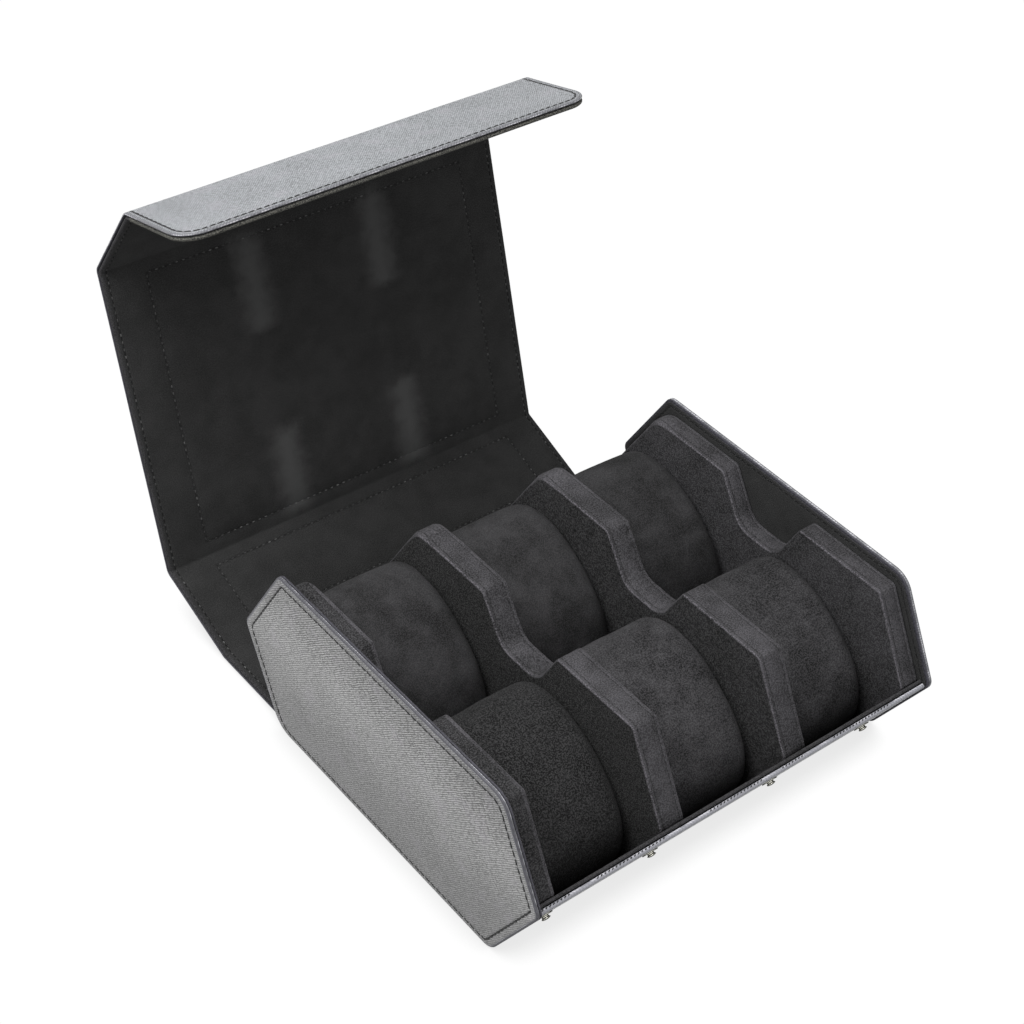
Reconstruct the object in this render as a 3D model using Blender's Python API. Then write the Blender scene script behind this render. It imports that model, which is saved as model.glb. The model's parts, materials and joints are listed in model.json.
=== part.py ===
"""Hexagonal storage case for six watches: two end panels, a wrap that folds over them and cushions.

+X runs along the case, +Y points to the back where the cover is hinged, +Z is up.
The origin is the middle of the underside. All values are in metres and radians.
"""
import math

import bmesh
import bpy
from mathutils import Matrix, Vector

MM = 0.001

# bays and dividers along the case, which set its length
COLUMNS = ("left", "middle", "right")
BAY_WIDTH = 56.5 * MM
DIVIDER_THICKNESS = 12.8 * MM
END_DIVIDER_THICKNESS = 10.15 * MM

# outline of the end panels: a hexagon with a flat top and bottom
TOP_DEPTH = 152 * MM
CASE_HEIGHT = 90 * MM
SLOPE_ANGLE = math.radians(60)

# corner radii of the end panels, named by edge: top, middle height and bottom
TOP_BACK_RADIUS = 5 * MM
MIDDLE_BACK_RADIUS = 5 * MM
BOTTOM_BACK_RADIUS = 14 * MM
BOTTOM_FRONT_RADIUS = 8 * MM
MIDDLE_FRONT_RADIUS = 5 * MM
TOP_FRONT_RADIUS = 12 * MM
ARC_STEP = math.radians(12)
LEAST_ARC_STEPS = 2

# layers of the wrap and of the end panels
LEATHER = 1.0 * MM
BOARD = 1.2 * MM
LINING = 0.8 * MM
GLUE_GAP = 0.25 * MM
END_BOARD = 0.7 * MM
BOARD_SETBACK = 1.0 * MM
SEAT_GAP = 0.3 * MM

# how the wrap lies in the end panels' outline
FRONT_RECESS = 0.9 * MM
COVER_RECESS = 1.2 * MM
COVER_SIDE_GAP = 0.4 * MM
FOLD_GAP = 0.2 * MM
FRONT_PANEL_DROP = 1.0 * MM
FLAP_LAP_GAP = 0.3 * MM
FLAP_WRAP_EXTRA = 1.4 * MM
FLAP_SNAP_MARGIN = 9.5 * MM
FLAP_CORNER_RADIUS = 12 * MM

# fold angles of the opened cover, from the table upwards
BACK_BASE_OPEN = math.radians(0)
BACK_MIDDLE_OPEN = math.radians(19.8)
LID_OPEN = math.radians(51.8)
FRONT_OPEN = math.radians(50.9)
FLAP_OPEN = math.radians(42.6)

# outline of the dividers, which have a hump in front and behind and a dip between them
DIVIDER_TOP_MARGIN = 2.8 * MM
DIVIDER_REAR_MARGIN = 1.3 * MM
DIVIDER_FRONT_MARGIN = 3.3 * MM
HUMP_CORNER_RADIUS = 2.5 * MM
REAR_CORNER_RADIUS = 6 * MM
FOOT_RADIUS = 1.5 * MM
DIP_RADIUS = 11 * MM
DIP_HEIGHT_SHARE = 0.68
DIP_TOP_SHARES = (0.171, -0.155)
DIP_FLOOR_SHARES = (0.069, -0.082)
SOFT_RIM = 0.9 * MM
SOFT_RIM_SEGMENTS = 2
SOFT_RIM_ANGLE = math.radians(60)

# watch cushions: tilted ovals that lie along X, with a crown and rounded ends
CUSHION_LONG = 84 * MM
CUSHION_SHORT = 53 * MM
CUSHION_TILT = math.radians(35.3)
CUSHION_SIDE_GAP = 1.2 * MM
CUSHION_CROWN = 1.4 * MM
CUSHION_EDGE = 7 * MM
ROW_GAP = 15 * MM
OVAL_POINTS = 32
CROWN_SHARES = (-1.0, -0.6, -0.2, 0.2, 0.6, 1.0)
EDGE_STEPS = 4

# snap fasteners: studs on the fixed front, sockets in the flap
SNAP_PLACE_SHARES = (-0.41, -0.155, 0.155, 0.41)
SNAP_DROP_SHARE = 0.64
STUD_FLANGE_RADIUS = 3.8 * MM
STUD_FLANGE_HEIGHT = 0.5 * MM
STUD_NECK_RADIUS = 1.6 * MM
STUD_NECK_HEIGHT = 0.7 * MM
STUD_HEAD_RADIUS = 2.1 * MM
STUD_HEAD_HEIGHT = 1.0 * MM
SOCKET_RADIUS = 4.2 * MM
SOCKET_HOLE_GAP = 0.4 * MM
SOCKET_BORE_GAP = 0.6 * MM
SOCKET_DEPTH = 1.3 * MM
SOCKET_LIP = 0.4 * MM
TURN_STEPS = 24
CUT_OVERRUN = 1.0 * MM
SMOOTH_ANGLE = math.radians(40)

# worked out from the sizes above
END_THICKNESS = LEATHER + END_BOARD + LINING + 2 * GLUE_GAP
WRAP_THICKNESS = LEATHER + BOARD + LINING + 2 * GLUE_GAP
BAY_PITCH = BAY_WIDTH + DIVIDER_THICKNESS
HALF_BAYS = (len(COLUMNS) * BAY_PITCH - DIVIDER_THICKNESS) / 2
HALF_INNER = HALF_BAYS + END_DIVIDER_THICKNESS + SEAT_GAP
CASE_LENGTH = 2 * (HALF_INNER + END_THICKNESS)
MIDDLE_DEPTH = TOP_DEPTH + CASE_HEIGHT / math.tan(SLOPE_ANGLE)
MIDDLE_FOLD = math.pi - 2 * SLOPE_ANGLE


def remove_everything():
    for old in list(bpy.data.objects):
        bpy.data.objects.remove(old, do_unlink=True)


def make_material(name, colour, roughness, metallic=0.0):
    material = bpy.data.materials.new(name)
    material.use_nodes = True
    shader = material.node_tree.nodes["Principled BSDF"]
    shader.inputs["Base Color"].default_value = (*colour, 1.0)
    shader.inputs["Roughness"].default_value = roughness
    shader.inputs["Metallic"].default_value = metallic
    return material


def add_pivot(name, y, z, turn, parent=None):
    """An empty on a fold line, whose +Y runs along the panel that it carries."""
    pivot = bpy.data.objects.new(name, None)
    bpy.context.collection.objects.link(pivot)
    pivot.parent = parent
    pivot.location = (0, y, z)
    pivot.rotation_euler.x = turn
    return pivot


def add_object(name, mesh_data, material, parent=None, smooth=False):
    """Turn a bmesh into a named object with its faces pointing outwards."""
    bmesh.ops.recalc_face_normals(mesh_data, faces=mesh_data.faces)
    mesh = bpy.data.meshes.new(name)
    mesh_data.to_mesh(mesh)
    mesh_data.free()
    mesh.materials.append(material)
    if smooth:
        mesh.shade_smooth()
        mesh.set_sharp_from_angle(angle=SMOOTH_ANGLE)
    thing = bpy.data.objects.new(name, mesh)
    bpy.context.collection.objects.link(thing)
    thing.parent = parent
    return thing


def bridge(solid, near, far):
    """Faces between two rings of equally many vertices."""
    for i in range(len(near)):
        j = (i + 1) % len(near)
        solid.faces.new((near[i], near[j], far[j], far[i]))


def loft(name, rings, material, parent=None, smooth=False):
    """A closed solid through rings of equally many points, with its first and last ring filled."""
    solid = bmesh.new()
    loops = [[solid.verts.new(point) for point in ring] for ring in rings]
    for near, far in zip(loops, loops[1:]):
        bridge(solid, near, far)
    solid.faces.new(loops[0][::-1])
    solid.faces.new(loops[-1])
    return add_object(name, solid, material, parent, smooth)


def turn_ring(radius, height):
    turns = [math.tau * i / TURN_STEPS for i in range(TURN_STEPS)]
    return [(radius * math.cos(turn), radius * math.sin(turn), height) for turn in turns]


def round_corners(corners, radii):
    """Replace each corner of a flat outline by an arc of its radius."""
    outline = []
    for i, corner in enumerate(corners):
        corner = Vector(corner)
        if not radii[i]:
            outline.append(corner)
            continue
        to_last = (Vector(corners[i - 1]) - corner).normalized()
        to_next = (Vector(corners[(i + 1) % len(corners)]) - corner).normalized()
        half = to_last.angle(to_next) / 2
        middle = corner + (to_last + to_next).normalized() * (radii[i] / math.sin(half))
        start = corner + to_last * (radii[i] / math.tan(half)) - middle
        turn = math.copysign(math.pi - 2 * half, -to_last.cross(to_next))
        steps = max(LEAST_ARC_STEPS, math.ceil(abs(turn) / ARC_STEP))
        for step in range(steps + 1):
            outline.append(middle + Matrix.Rotation(turn * step / steps, 2) @ start)
    return outline


def add_slice(name, outline, x_low, thickness, material):
    """An outline in the YZ plane drawn out along X, placed by its lower X face."""
    rings = [[(x, point[0], point[1]) for point in outline] for x in (0, thickness)]
    piece = loft(name, rings, material)
    piece.location.x = x_low
    return piece


def hexagon(top, bottom, front_upper, front_lower, back_upper, back_lower):
    """The end panel's outline with each side moved inwards, as (y, z) corners.

    The order is top back, middle back, bottom back, bottom front, middle front, top front.
    """
    high = CASE_HEIGHT - top
    low = bottom
    middle = CASE_HEIGHT / 2
    tangent = math.tan(SLOPE_ANGLE)
    sine = math.sin(SLOPE_ANGLE)
    cosine = math.cos(SLOPE_ANGLE)

    def side(upper, lower):
        upper_reach = MIDDLE_DEPTH / 2 - upper / sine
        lower_reach = MIDDLE_DEPTH / 2 - lower / sine
        corner = ((upper_reach + lower_reach) / 2, middle + (lower - upper) / 2 / cosine)
        top_corner = (upper_reach - (high - middle) / tangent, high)
        low_corner = (lower_reach - (middle - low) / tangent, low)
        return top_corner, corner, low_corner

    back = side(back_upper, back_lower)
    front = [(-y, z) for y, z in side(front_upper, front_lower)]
    return [*back, *front[::-1]]


class Panel:
    """One flat panel of the wrap, drawn in the frame of its pivot.

    There +Y runs along the outer face from the first fold line, and +Z goes inwards through the
    layers. An end without a fold has no mitre.
    """

    def __init__(self, pivot, length, start_mitre, end_mitre, half_width, end_radius=0.0):
        self.pivot = pivot
        self.length = length
        self.start_mitre = start_mitre
        self.end_mitre = end_mitre
        self.half_width = half_width
        self.end_radius = end_radius

    def cut_back(self, mitre, depth, setback):
        """How far a layer at this depth stays behind the fold line or the free edge."""
        return setback if mitre is None else FOLD_GAP + depth * math.tan(mitre)

    def ring(self, depth, setback):
        low = self.cut_back(self.start_mitre, depth, setback)
        high = self.length - self.cut_back(self.end_mitre, depth, setback)
        side = self.half_width - setback
        corners = [(-side, low), (side, low), (side, high), (-side, high)]
        if self.end_radius:
            radius = self.end_radius - setback
            corners = round_corners(corners, (0, 0, radius, radius))
        return [(x, run, depth) for x, run in corners]

    def add_layer(self, name, depth, thickness, material, setback=0.0):
        rings = [self.ring(depth, setback), self.ring(depth + thickness, setback)]
        return loft(name, rings, material, self.pivot)

    def build(self, name, materials):
        """The leather skin, the stiffening board and the suede lining of this panel."""
        board_depth = LEATHER + GLUE_GAP
        lining_depth = board_depth + BOARD + GLUE_GAP
        skin = self.add_layer(f"{name}_leather", 0.0, LEATHER, materials["leather"])
        board = self.add_layer(f"{name}_board", board_depth, BOARD, materials["board"], BOARD_SETBACK)
        lining = self.add_layer(f"{name}_lining", lining_depth, LINING, materials["suede"])
        return skin, board, lining


class Cover:
    """Lengths and closed fold angles of the five hinged panels, from the end panels' hexagon.

    The flap reaches past the studs on the case's front, whose place is given as (y, z).
    """

    def __init__(self, stud_place):
        recess = COVER_RECESS
        corners = [Vector(c) for c in hexagon(recess, 0, recess, recess, recess, recess)]
        top_back, middle_back, self.hinge, _, _, self.top_front = corners
        self.back_lower = (middle_back - self.hinge).length
        self.back_upper = (top_back - middle_back).length
        self.lid = (top_back - self.top_front).length
        self.front_upper = self.back_upper + FLAP_WRAP_EXTRA
        self.crease = self.find_crease()
        rise = self.top_front - self.crease
        self.front_fold = math.atan2(rise.y, rise.x)
        self.flap_fold = math.pi - SLOPE_ANGLE - self.front_fold
        down_flap = Vector((math.cos(SLOPE_ANGLE), -math.sin(SLOPE_ANGLE)))
        self.socket_run = (stud_place - self.crease).dot(down_flap)
        self.flap = self.socket_run + FLAP_SNAP_MARGIN

    def find_crease(self):
        """The fold between front panel and flap when closed: the flap laps the case's front."""
        proud = FLAP_LAP_GAP + WRAP_THICKNESS - FRONT_RECESS
        on_flap = Vector(hexagon(COVER_RECESS, 0, COVER_RECESS, -proud, 0, 0)[4])
        up_flap = Vector((-math.cos(SLOPE_ANGLE), math.sin(SLOPE_ANGLE)))
        away = on_flap - self.top_front
        along = away.dot(up_flap)
        reach = math.sqrt(along ** 2 - away.length_squared + self.front_upper ** 2)
        return on_flap + up_flap * (-along - reach)

    def build(self, materials):
        """The panels in their opened position, each hung on the one before; returns the flap."""
        sides = (
            ("back_lower", self.back_lower, BACK_BASE_OPEN, SLOPE_ANGLE),
            ("back_upper", self.back_upper, BACK_MIDDLE_OPEN, MIDDLE_FOLD),
            ("lid", self.lid, LID_OPEN, SLOPE_ANGLE),
            ("front_upper", self.front_upper, FRONT_OPEN, self.front_fold),
            ("flap", self.flap, FLAP_OPEN, self.flap_fold),
        )
        half_width = HALF_INNER - COVER_SIDE_GAP
        mitres = [closed_fold / 2 for _, _, _, closed_fold in sides] + [None]
        pivot = None
        y, z = self.hinge
        for i, (name, length, open_fold, _) in enumerate(sides):
            pivot = add_pivot(f"{name}_fold", y, z, open_fold, pivot)
            end_radius = FLAP_CORNER_RADIUS if mitres[i + 1] is None else 0.0
            panel = Panel(pivot, length, mitres[i], mitres[i + 1], half_width, end_radius)
            layers = panel.build(name, materials)
            y, z = length, 0.0
        return panel, layers


def build_case_panels(materials):
    """The bottom and the fixed front, which stay with the end panels; returns the front."""
    corners = [Vector(c) for c in hexagon(0, 0, FRONT_RECESS, FRONT_RECESS, 0, COVER_RECESS)]
    _, _, bottom_back, bottom_front, middle_front, _ = corners
    mitre = SLOPE_ANGLE / 2
    half_width = HALF_INNER - SEAT_GAP
    base_pivot = add_pivot("base_corner", *bottom_front, 0.0)
    depth = (bottom_back - bottom_front).length
    Panel(base_pivot, depth, mitre, mitre, half_width).build("base", materials)
    slope = bottom_front - middle_front
    top_edge = middle_front + slope.normalized() * FRONT_PANEL_DROP
    front_pivot = add_pivot("front_edge", *top_edge, -SLOPE_ANGLE)
    front = Panel(front_pivot, slope.length - FRONT_PANEL_DROP, None, mitre, half_width)
    front.build("front", materials)
    return front


def build_end_panels(materials):
    """Both hexagonal ends: a leather face, a board and a suede lining."""
    radii = (
        TOP_BACK_RADIUS,
        MIDDLE_BACK_RADIUS,
        BOTTOM_BACK_RADIUS,
        BOTTOM_FRONT_RADIUS,
        MIDDLE_FRONT_RADIUS,
        TOP_FRONT_RADIUS,
    )
    full = round_corners(hexagon(0, 0, 0, 0, 0, 0), radii)
    back = BOARD_SETBACK
    small = round_corners(hexagon(back, back, back, back, back, back), [r - back for r in radii])
    layers = (
        ("leather", 0.0, LEATHER, full, materials["leather"]),
        ("board", LEATHER + GLUE_GAP, END_BOARD, small, materials["board"]),
        ("lining", END_THICKNESS - LINING, LINING, full, materials["suede"]),
    )
    for layer, depth, thickness, outline, material in layers:
        right = CASE_LENGTH / 2 - depth - thickness
        left = depth - CASE_LENGTH / 2
        add_slice(f"right_end_{layer}", outline, right, thickness, material)
        add_slice(f"left_end_{layer}", outline, left, thickness, material)


def divider_outline():
    """The hexagon inside the closed cover, with a dip between its front and rear humps."""
    closed = COVER_RECESS + WRAP_THICKNESS
    rear = closed + DIVIDER_REAR_MARGIN
    corners = hexagon(
        closed + DIVIDER_TOP_MARGIN,
        WRAP_THICKNESS + SEAT_GAP,
        closed + DIVIDER_FRONT_MARGIN,
        FRONT_RECESS + WRAP_THICKNESS + SEAT_GAP,
        rear,
        rear,
    )
    high = corners[0][1]
    low = CASE_HEIGHT * DIP_HEIGHT_SHARE
    dip = [
        (TOP_DEPTH * DIP_TOP_SHARES[1], high),
        (TOP_DEPTH * DIP_FLOOR_SHARES[1], low),
        (TOP_DEPTH * DIP_FLOOR_SHARES[0], low),
        (TOP_DEPTH * DIP_TOP_SHARES[0], high),
    ]
    hump = HUMP_CORNER_RADIUS
    radii = [REAR_CORNER_RADIUS, hump, FOOT_RADIUS, FOOT_RADIUS, hump, hump, hump]
    radii += [DIP_RADIUS, DIP_RADIUS, hump]
    return round_corners(corners + dip, radii)


def build_dividers(materials):
    """Two dividers between the bays and one against each end panel."""
    outline = divider_outline()
    bay_side = BAY_WIDTH / 2
    places = (
        ("left_end_divider", -HALF_BAYS - END_DIVIDER_THICKNESS, END_DIVIDER_THICKNESS),
        ("left_divider", -bay_side - DIVIDER_THICKNESS, DIVIDER_THICKNESS),
        ("right_divider", bay_side, DIVIDER_THICKNESS),
        ("right_end_divider", HALF_BAYS, END_DIVIDER_THICKNESS),
    )
    for name, x_low, thickness in places:
        divider = add_slice(name, outline, x_low, thickness, materials["suede"])
        bevel = divider.modifiers.new("soft rim", "BEVEL")
        bevel.width = SOFT_RIM
        bevel.segments = SOFT_RIM_SEGMENTS
        bevel.limit_method = "ANGLE"
        bevel.angle_limit = SOFT_RIM_ANGLE


def cushion_ring(x, inset):
    """One slice of the oval cushion, drawn in from its full size."""
    tilt = Matrix.Rotation(CUSHION_TILT, 2)
    long_half = CUSHION_LONG / 2 - inset
    short_half = CUSHION_SHORT / 2 - inset
    ring = []
    for i in range(OVAL_POINTS):
        turn = math.tau * i / OVAL_POINTS
        flat = tilt @ Vector((long_half * math.cos(turn), short_half * math.sin(turn)))
        ring.append((x, flat.x, flat.y))
    return ring


def cushion_rings():
    """Slices along the cushion: a crowned middle and rounded ends."""
    shoulder = BAY_WIDTH / 2 - CUSHION_SIDE_GAP - CUSHION_EDGE
    rings = [(shoulder * share, CUSHION_CROWN * share ** 2) for share in CROWN_SHARES]
    for step in range(1, EDGE_STEPS + 1):
        turn = math.pi / 2 * step / EDGE_STEPS
        x = shoulder + CUSHION_EDGE * math.sin(turn)
        inset = CUSHION_CROWN + CUSHION_EDGE * (1 - math.cos(turn))
        rings.append((x, inset))
        rings.insert(0, (-x, inset))
    return [cushion_ring(x, inset) for x, inset in rings]


def oval_reach(angle):
    """How far the tilted oval reaches from its centre in one direction."""
    along = CUSHION_LONG / 2 * math.cos(angle - CUSHION_TILT)
    across = CUSHION_SHORT / 2 * math.sin(angle - CUSHION_TILT)
    return math.hypot(along, across)


def build_cushions(materials):
    """Two rows of cushions, which lie on the lining; the front row leans on the fixed front."""
    z = WRAP_THICKNESS + SEAT_GAP + oval_reach(math.pi / 2)
    wall_corner = Vector(hexagon(0, 0, 0, FRONT_RECESS + WRAP_THICKNESS + SEAT_GAP, 0, 0)[3])
    wall_angle = 3 * math.pi / 2 - SLOPE_ANGLE
    wall_normal = Vector((math.cos(wall_angle), math.sin(wall_angle)))
    wall = wall_normal.dot(wall_corner) - oval_reach(wall_angle)
    front_y = (wall - wall_normal.y * z) / wall_normal.x
    rear_y = front_y + 2 * oval_reach(0) + ROW_GAP
    first_x = -BAY_PITCH * (len(COLUMNS) - 1) / 2
    shared = None
    for row, y in (("front", front_y), ("rear", rear_y)):
        for i, column in enumerate(COLUMNS):
            name = f"{row}_{column}_cushion"
            if shared is None:
                cushion = loft(name, cushion_rings(), materials["suede"], smooth=True)
                shared = cushion.data
            else:
                cushion = bpy.data.objects.new(name, shared)
                bpy.context.collection.objects.link(cushion)
            cushion.location = (first_x + i * BAY_PITCH, y, z)


def build_studs(front, material):
    """The snap studs on the outside of the fixed front; returns their place as (y, z)."""
    neck_top = STUD_FLANGE_HEIGHT + STUD_NECK_HEIGHT
    profile = (
        (STUD_FLANGE_RADIUS, 0.0),
        (STUD_FLANGE_RADIUS, STUD_FLANGE_HEIGHT),
        (STUD_NECK_RADIUS, STUD_FLANGE_HEIGHT),
        (STUD_NECK_RADIUS, neck_top),
        (STUD_HEAD_RADIUS, neck_top + STUD_HEAD_HEIGHT / 2),
        (STUD_NECK_RADIUS, neck_top + STUD_HEAD_HEIGHT),
    )
    rings = [turn_ring(radius, height) for radius, height in profile]
    run = front.length * SNAP_DROP_SHARE
    for i, share in enumerate(SNAP_PLACE_SHARES):
        stud = loft(f"snap_stud_{i + 1}", rings, material, front.pivot, smooth=True)
        stud.location = (CASE_LENGTH * share, run, -SEAT_GAP)
        stud.rotation_euler.x = math.pi
    down_front = Matrix.Rotation(-SLOPE_ANGLE, 2) @ Vector((run, 0))
    return front.pivot.location.yz + down_front


def cut_socket_holes(flap, layers, run, material):
    """Round holes through the flap's board and lining, open to the inside."""
    floor = LEATHER + GLUE_GAP / 2
    height = WRAP_THICKNESS - floor + CUT_OVERRUN
    radius = SOCKET_RADIUS + SOCKET_HOLE_GAP
    holes = bmesh.new()
    for share in SNAP_PLACE_SHARES:
        bmesh.ops.create_cone(
            holes,
            cap_ends=True,
            segments=TURN_STEPS,
            radius1=radius,
            radius2=radius,
            depth=height,
            matrix=Matrix.Translation((CASE_LENGTH * share, run, floor + height / 2)),
        )
    cutter = add_object("socket_hole_cutter", holes, material, flap.pivot)
    cutter.hide_render = True
    cutter.display_type = "WIRE"
    for layer in layers:
        cut = layer.modifiers.new("socket holes", "BOOLEAN")
        cut.operation = "DIFFERENCE"
        cut.object = cutter


def build_sockets(flap, flap_layers, run, material):
    """Bored sockets in the flap, where the studs meet it when the case is closed."""
    cut_socket_holes(flap, flap_layers[1:], run, material)
    bore = STUD_HEAD_RADIUS + SOCKET_BORE_GAP
    floor = LEATHER + GLUE_GAP
    rim = floor + SOCKET_DEPTH
    profile = (
        (bore, floor),
        (SOCKET_RADIUS - SOCKET_LIP, floor),
        (SOCKET_RADIUS, floor + SOCKET_LIP),
        (SOCKET_RADIUS, rim - SOCKET_LIP),
        (SOCKET_RADIUS - SOCKET_LIP, rim),
        (bore, rim),
    )
    for i, share in enumerate(SNAP_PLACE_SHARES):
        solid = bmesh.new()
        loops = [[solid.verts.new(p) for p in turn_ring(radius, z)] for radius, z in profile]
        for near, far in zip(loops, [*loops[1:], loops[0]]):
            bridge(solid, near, far)
        socket = add_object(f"snap_socket_{i + 1}", solid, material, flap.pivot, smooth=True)
        socket.location = (CASE_LENGTH * share, run, 0)


def main():
    remove_everything()
    materials = {
        "leather": make_material("charcoal_leather", (0.10, 0.105, 0.115), 0.45),
        "suede": make_material("black_suede", (0.018, 0.018, 0.020), 0.95),
        "board": make_material("stiffening_board", (0.22, 0.20, 0.17), 0.9),
        "metal": make_material("polished_nickel", (0.80, 0.78, 0.74), 0.2, 1.0),
    }
    front = build_case_panels(materials)
    build_end_panels(materials)
    build_dividers(materials)
    build_cushions(materials)
    cover = Cover(build_studs(front, materials["metal"]))
    flap, flap_layers = cover.build(materials)
    build_sockets(flap, flap_layers, cover.socket_run, materials["metal"])


main()
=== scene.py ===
"""Looks of the hexagonal storage case for six watches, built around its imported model.

+X runs along the case, +Y points to the back where the cover is hinged, +Z is up.
All values are in metres and radians.
"""
import json
import math

import bmesh
import bpy
from mathutils import Matrix, Vector, noise

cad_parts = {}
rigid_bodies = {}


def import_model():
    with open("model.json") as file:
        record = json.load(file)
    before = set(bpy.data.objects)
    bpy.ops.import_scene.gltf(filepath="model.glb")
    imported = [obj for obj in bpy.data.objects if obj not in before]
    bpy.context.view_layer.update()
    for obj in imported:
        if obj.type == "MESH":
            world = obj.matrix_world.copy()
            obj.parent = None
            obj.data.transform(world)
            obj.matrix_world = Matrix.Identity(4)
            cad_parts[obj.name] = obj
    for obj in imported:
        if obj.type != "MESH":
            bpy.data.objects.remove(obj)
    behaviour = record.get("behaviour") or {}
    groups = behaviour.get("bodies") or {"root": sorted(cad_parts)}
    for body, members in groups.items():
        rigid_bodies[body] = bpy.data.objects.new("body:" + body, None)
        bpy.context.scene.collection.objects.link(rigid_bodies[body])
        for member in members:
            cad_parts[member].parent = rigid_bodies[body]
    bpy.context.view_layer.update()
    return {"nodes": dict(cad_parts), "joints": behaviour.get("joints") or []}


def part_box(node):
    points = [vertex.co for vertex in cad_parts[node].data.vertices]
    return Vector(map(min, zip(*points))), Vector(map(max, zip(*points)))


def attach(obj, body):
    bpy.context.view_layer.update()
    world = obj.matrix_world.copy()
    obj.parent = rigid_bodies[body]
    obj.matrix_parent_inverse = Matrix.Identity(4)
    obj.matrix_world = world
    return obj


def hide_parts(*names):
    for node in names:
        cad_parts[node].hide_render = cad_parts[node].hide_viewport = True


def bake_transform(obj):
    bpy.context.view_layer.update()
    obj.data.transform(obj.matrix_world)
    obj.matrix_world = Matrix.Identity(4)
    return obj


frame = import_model()

MM = 0.001

# camera of the photograph, found from the case's corners
CAMERA_AZIMUTH = math.radians(-41.569)
CAMERA_ELEVATION = math.radians(40.183)
CAMERA_ROLL = math.radians(4.679)
CAMERA_RIGHT = -30.582 * MM
CAMERA_UP = 95.334 * MM
CAMERA_DISTANCE = 960.564 * MM
CAMERA_LENS_MM = 75.05
CAMERA_SENSOR_MM = 36.0

# outline of the end panels: a hexagon with a flat top and bottom
TOP_DEPTH = 152 * MM
CASE_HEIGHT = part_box("left_end_leather")[1].z
SLOPE_ANGLE = math.radians(60)
MIDDLE_DEPTH = TOP_DEPTH + CASE_HEIGHT / math.tan(SLOPE_ANGLE)
HALF_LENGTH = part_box("right_end_leather")[1].x
TOP_BACK_RADIUS = 5 * MM
MIDDLE_BACK_RADIUS = 5 * MM
BOTTOM_BACK_RADIUS = 14 * MM
BOTTOM_FRONT_RADIUS = 8 * MM
MIDDLE_FRONT_RADIUS = 5 * MM
TOP_FRONT_RADIUS = 12 * MM
CORNER_STEPS = 9
LEAST_RADIUS = 0.5 * MM

# layers of an end panel, from its outside: leather face, leather backing, suede lining
END_FACE = 1.5 * MM
END_SEAM_GAP = 0.15 * MM
END_BACKING = 0.9 * MM
END_LINING_GAP = 0.05 * MM
END_LINING = 0.4 * MM
END_LINING_SETBACK = 1.1 * MM
END_BOTTOM_SHARE = 0.58
END_STITCH_INSET = 4.3 * MM
END_FIELD_INSET = 5.6 * MM
END_PAINT_INSET = 1.5 * MM

# the soft face of an end panel: a slight swell, puckers that start at its seam, and slow waves
FACE_SWELL = 1.2 * MM
FACE_SWELL_REACH = 30 * MM
PUCKER_INSETS = (42 * MM, 35 * MM, 29 * MM, 24 * MM, 19.5 * MM, 15.5 * MM, 12 * MM, 9 * MM, 6.5 * MM)
PUCKER_START = 4 * MM
PUCKER_REACH = 28 * MM
PUCKER_WIDTH = 6.5 * MM
PUCKER_LENGTH = 24 * MM
PUCKER_DEPTH = 0.7 * MM
WAVE_SIZE = 38 * MM
WAVE_DEPTH = 0.35 * MM

# layers of the wrap, from its outside: a leather-covered board and the suede lining
WALL = 3.5 * MM
SKIN = 1.2 * MM
SIDE_SKIN = 1.0 * MM
LAYER_GAP = 0.42 * MM
LINING_SETBACK = 0.1 * MM
HALF_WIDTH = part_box("lid_leather")[1].x
FLAP_RADIUS = 12 * MM
FLAP_CORNER_STEPS = 10

# front edge: its thicker skin, the lining's bead, and the stretches where thread shows
FRONT_SKIN = 2.0 * MM
FRONT_STITCH_PITCH = 1.9 * MM
FRONT_STITCH_LENGTH = 1.1 * MM
FRONT_STITCH_RADIUS = 0.3 * MM
FRONT_SEAM_DEPTH = 1.45 * MM
FRONT_BEAD = 0.5 * MM
FRONT_THREAD_SHARES = ((0.0, 0.07), (0.13, 0.3), (0.41, 0.55), (0.6, 0.66), (0.74, 0.9))

# folds of the wrap
FOLD_JOINTS = ("back_base_fold", "back_middle_fold", "lid_fold", "front_fold", "flap_fold")
FOLD_CENTRE = 4.5 * MM
BASE_CORNER_GAP = 0.2 * MM
BLEND_REACH = 4.0 * MM
FINE_STEP = 0.5 * MM
COARSE_STEP = 9 * MM

# seams: rows of stitches in shallow grooves
FIELD_INSET = 4.4 * MM
STITCH_INSET = 3.0 * MM
EDGE_SEAM_INSET = 1.2 * MM
GROOVE_DEPTH = 0.3 * MM
GROOVE_HALF_WIDTH = 0.5 * MM
FINE_GROOVE_DEPTH = 0.28 * MM
FINE_GROOVE_HALF_WIDTH = 0.28 * MM
PANEL_SEAM_XS = (-86 * MM, 87.5 * MM)
PANEL_SEAM_RUN = 8.2 * MM
PANEL_SEAM_DEPTH = 0.35 * MM
PANEL_SEAM_HALF_WIDTH = 0.9 * MM
# painted shade down in the lining's stitched seams
PANEL_SEAM_PAINTED_SHADE = -0.5
PANELS_WITHOUT_SEAM = ("case_body", "front_upper", "flap")
STITCH_PITCH = 3.75 * MM
STITCH_LENGTH = 3.1 * MM
STITCH_RADIUS = 0.48 * MM
STITCH_SEAT = 0.2 * MM
DEEP_STITCH_SEAT = 0.42 * MM
STITCH_SIDES = 6
STITCH_SHARES = ((0.0, 0.4), (0.12, 0.9), (0.5, 1.0), (0.88, 0.9), (1.0, 0.4))
STITCH_SLANT = 0.28 * MM
LINING_STITCH_PITCH = 3.5 * MM
LINING_STITCH_LENGTH = 1.25 * MM
LINING_STITCH_RADIUS = 0.3 * MM
PATH_STEP = 0.6 * MM
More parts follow.
